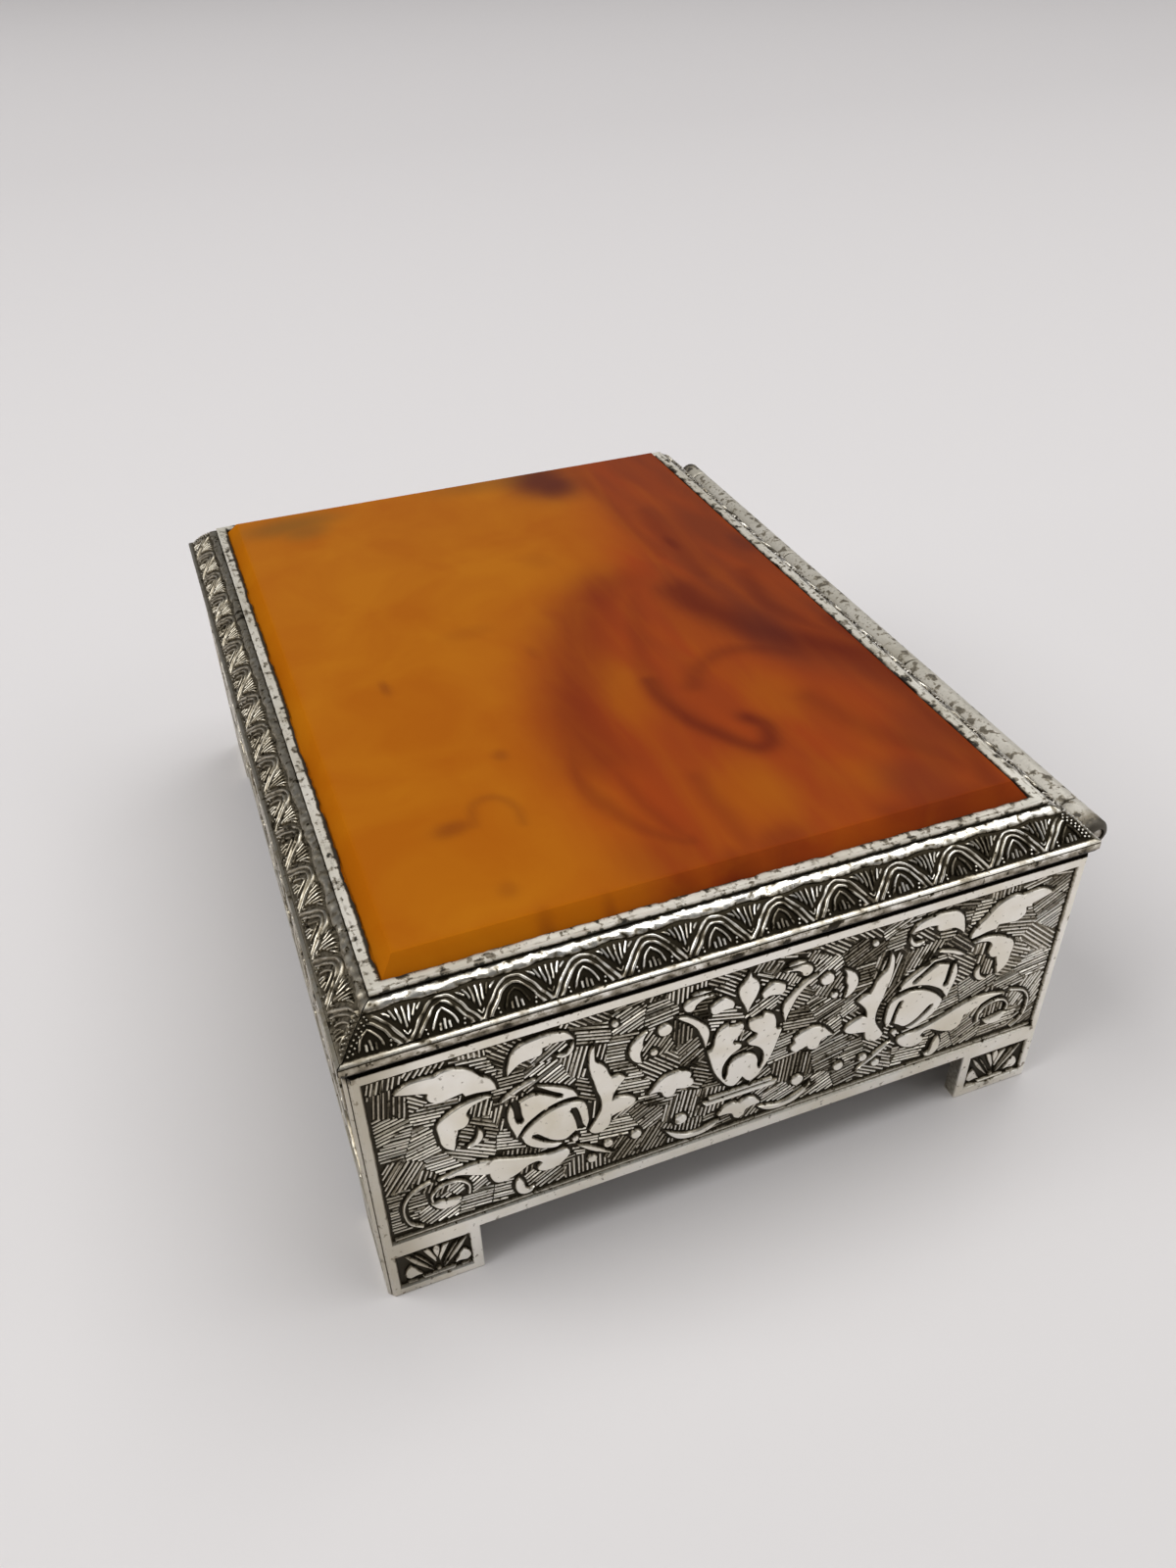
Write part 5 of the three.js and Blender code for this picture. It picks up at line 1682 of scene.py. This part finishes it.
def build_leaf(name, node, body, spans, strip_low, strip_high):
    """One leaf: its strip, and a knuckle with its tongue for each span."""
    parts = [block(strip_low, strip_high)]
    for start, end in spans:
        tongue_low = start + TONGUE_IN, strip_high[1] - TONGUE_LAP, strip_low[2]
        tongue_high = end - TONGUE_IN, AXIS_Y - TONGUE_SHORT, strip_high[2]
        parts += [turned(knuckle_section(start, end)), block(tongue_low, tongue_high)]
    points, faces = [], []
    for part_points, part_faces in parts:
        first = len(points)
        points += part_points
        faces += [tuple(first + i for i in face) for face in part_faces]
    low, high = KNUCKLE_ENDS[-1] - GRIMY_FROM, KNUCKLE_ENDS[-1] - GRIMY_TO
    values = {"polish": [BARREL_POLISH - END_GRIME * soft_step(abs(p[0]), low, high) for p in points]}
    make_piece(name, points, faces, HINGE_PLATING, body, node, values, crease=32)
    print(name, len(spans), "knuckles")


# %% Build both leaves
LEAF_THICK = 0.6
CASE_LEAF_HALF, LID_LEAF_HALF = KNUCKLE_ENDS[-1], 62.5
knuckles = []
for start, end in zip(KNUCKLE_ENDS, KNUCKLE_ENDS[1:]):
    left = start if start == KNUCKLE_ENDS[0] else start + KNUCKLE_GAP / 2
    right = end if end == KNUCKLE_ENDS[-1] else end - KNUCKLE_GAP / 2
    knuckles.append((left, right))
case_leaf_low, _ = node_box("hinge_body_leaf")
lid_leaf_low, _ = node_box("hinge_lid_leaf")
build_leaf("case_hinge_leaf", "hinge_body_leaf", "case", knuckles[0::2],
           (-CASE_LEAF_HALF, case_leaf_low.y, PANEL_TOP - LEAF_THICK),
           (CASE_LEAF_HALF, back_high.y, PANEL_TOP))
build_leaf("lid_hinge_leaf", "hinge_lid_leaf", "lid", knuckles[1::2],
           (-LID_LEAF_HALF, lid_leaf_low.y, LID_BOTTOM),
           (LID_LEAF_HALF, lid_back_high.y, LID_BOTTOM + LEAF_THICK))

# %% Hinge pin
STEEL, STEEL_STAIN = (0.50, 0.47, 0.42, 1), (0.16, 0.12, 0.08, 1)
# Run from the end, radius
PIN_END = ((0.0, 0.02), (0.05, 0.5), (0.22, PIN_RADIUS - 0.05), (0.5, PIN_RADIUS))
PIN_SIDES = 28


def pin_finish():
    """Steel with brown stains, which are rougher."""
    material, tree, shader = open_material("pin_steel")
    stain = grain(tree, 0.9, detail=5)
    wire(tree, shader, {
        "Base Color": blend_colours(tree, span(tree, stain, 0.4, 0.65), STEEL, STEEL_STAIN),
        "Metallic": 1.0,
        "Roughness": span(tree, stain, 0.3, 0.7, 0.3, 0.55),
    })
    return material


pin_section = [(pin_low.x + run, radius) for run, radius in PIN_END]
pin_section += [(pin_high.x - run, radius) for run, radius in reversed(PIN_END)]
pin_points, pin_faces = turned(pin_section, PIN_SIDES)
make_piece("steel_pin", pin_points, pin_faces, pin_finish(), "case", "hinge_pin")
print("pin", len(pin_faces), "faces")

# %% [markdown]
# ## Lining and hidden sheets
#
# Inside, thin cedar boards keep the cigarettes dry, and a board parts them into two rows. The sheet base
# and the sheet behind the slab are tinned. Those sheets and the floor board are already right, so they
# keep their solids and only get a finish. A modifier can't round the edges of the other boards, because
# the frame's triangles share no corners, so each is rebuilt with joined corners and its edges eased.

# %% Cedar
CEDAR_PALE, CEDAR_DARK = (0.43, 0.20, 0.095, 1), (0.27, 0.105, 0.045, 1)
CEDAR_FIBRE = (0.16, 0.06, 0.028, 1)


def cedar_finish(name, stretch):
    """Rings, fibres and pores, all drawn out along the board."""
    material, tree, shader = open_material(name)
    fibres = grain(tree, 0.5, detail=5, stretch=stretch)
    rings = grain(tree, 5, detail=3, stretch=stretch, distortion=1.2)
    pores = grain(tree, 0.22, detail=2, stretch=stretch)
    tone = blend_colours(tree, span(tree, rings, 0.35, 0.65), CEDAR_PALE, CEDAR_DARK)
    tone = blend_colours(tree, span(tree, fibres, 0.45, 0.75, 0.0, 0.55), tone, CEDAR_FIBRE)
    wire(tree, shader, {
        "Base Color": tone,
        "Roughness": span(tree, pores, 0.3, 0.7, 0.5, 0.7),
        "Normal": relief_bump(tree, pores, 0.05, 0.4),
    })
    return material


ALONG_X = cedar_finish("cedar_along_x", (0.06, 1, 1))
ALONG_Y = cedar_finish("cedar_along_y", (1, 0.06, 1))
print("cedar has", len(ALONG_X.node_tree.nodes), "nodes")

# %% Tinned sheet
TIN_DARK, TIN_PALE, TIN_STAIN = (0.42, 0.42, 0.41, 1), (0.60, 0.60, 0.58, 1), (0.22, 0.19, 0.15, 1)
SPANGLE_MM = 6


def tinned_finish():
    """Grey spangles with brown stains."""
    material, tree, shader = open_material("tinned_sheet")
    cells = {"Vector": place_on(tree), "Scale": 1 / (SPANGLE_MM * MM)}
    spangle = add_node(tree, "ShaderNodeTexVoronoi", cells).outputs["Distance"]
    stain = grain(tree, 12, detail=5)
    tone = blend_colours(tree, spangle, TIN_DARK, TIN_PALE)
    tone = blend_colours(tree, span(tree, stain, 0.5, 0.7, 0.0, 0.6), tone, TIN_STAIN)
    wire(tree, shader, {
        "Base Color": tone,
        "Metallic": 1.0,
        "Roughness": span(tree, stain, 0.3, 0.7, 0.35, 0.55),
    })
    return material


# %% Boards with eased edges
# Body, finish, radius of the eased edges
EASED = {
    "lining_front": ("case", ALONG_X, 0.35), "lining_back": ("case", ALONG_X, 0.35),
    "lining_left": ("case", ALONG_Y, 0.35), "lining_right": ("case", ALONG_Y, 0.35),
    "divider": ("case", ALONG_Y, 0.6), "lid_lining": ("lid", ALONG_X, 0.4),
}
JOIN_WITHIN = 0.001 * MM
FLAT_TURN, SHARP_TURN = math.radians(1), math.radians(30)
EASE_STEPS = 3
SQUARE_ON = 0.999


def ease_board(name, body, material, radius):
    """A board like the solid, with its outer edges rounded over."""
    shell = bmesh.new()
    shell.from_mesh(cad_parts[name].data)
    bmesh.ops.remove_doubles(shell, verts=shell.verts, dist=JOIN_WITHIN)
    bmesh.ops.dissolve_limit(shell, angle_limit=FLAT_TURN, verts=shell.verts, edges=shell.edges)
    outer = [e for e in shell.edges if e.is_convex and e.calc_face_angle(0.0) > SHARP_TURN]
    bmesh.ops.bevel(
        shell, geom=outer, offset=radius * MM, segments=EASE_STEPS, profile=0.5, affect="EDGES"
    )
    shell.normal_update()
    shell.verts.index_update()
    points = [v.co / MM for v in shell.verts]
    faces = [tuple(v.index for v in f.verts) for f in shell.faces]
    flat = [i for i, f in enumerate(shell.faces) if max(abs(part) for part in f.normal) > SQUARE_ON]
    shell.free()
    make_piece(name + "_board", points, faces, material, body, name, flat=flat)
    print(name, "eased by", radius, "mm:", len(faces), "faces")


for name, (body, material, radius) in EASED.items():
    ease_board(name, body, material, radius)

# %% Dress the solids that keep their shape
TINNED = tinned_finish()
KEPT = {"lining_floor": ALONG_X, "base_plate": TINNED, "slab_backing": TINNED}
for name, material in KEPT.items():
    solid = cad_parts[name]
    solid.data.materials.clear()
    solid.data.materials.append(material)
print("kept", len(KEPT), "solids")
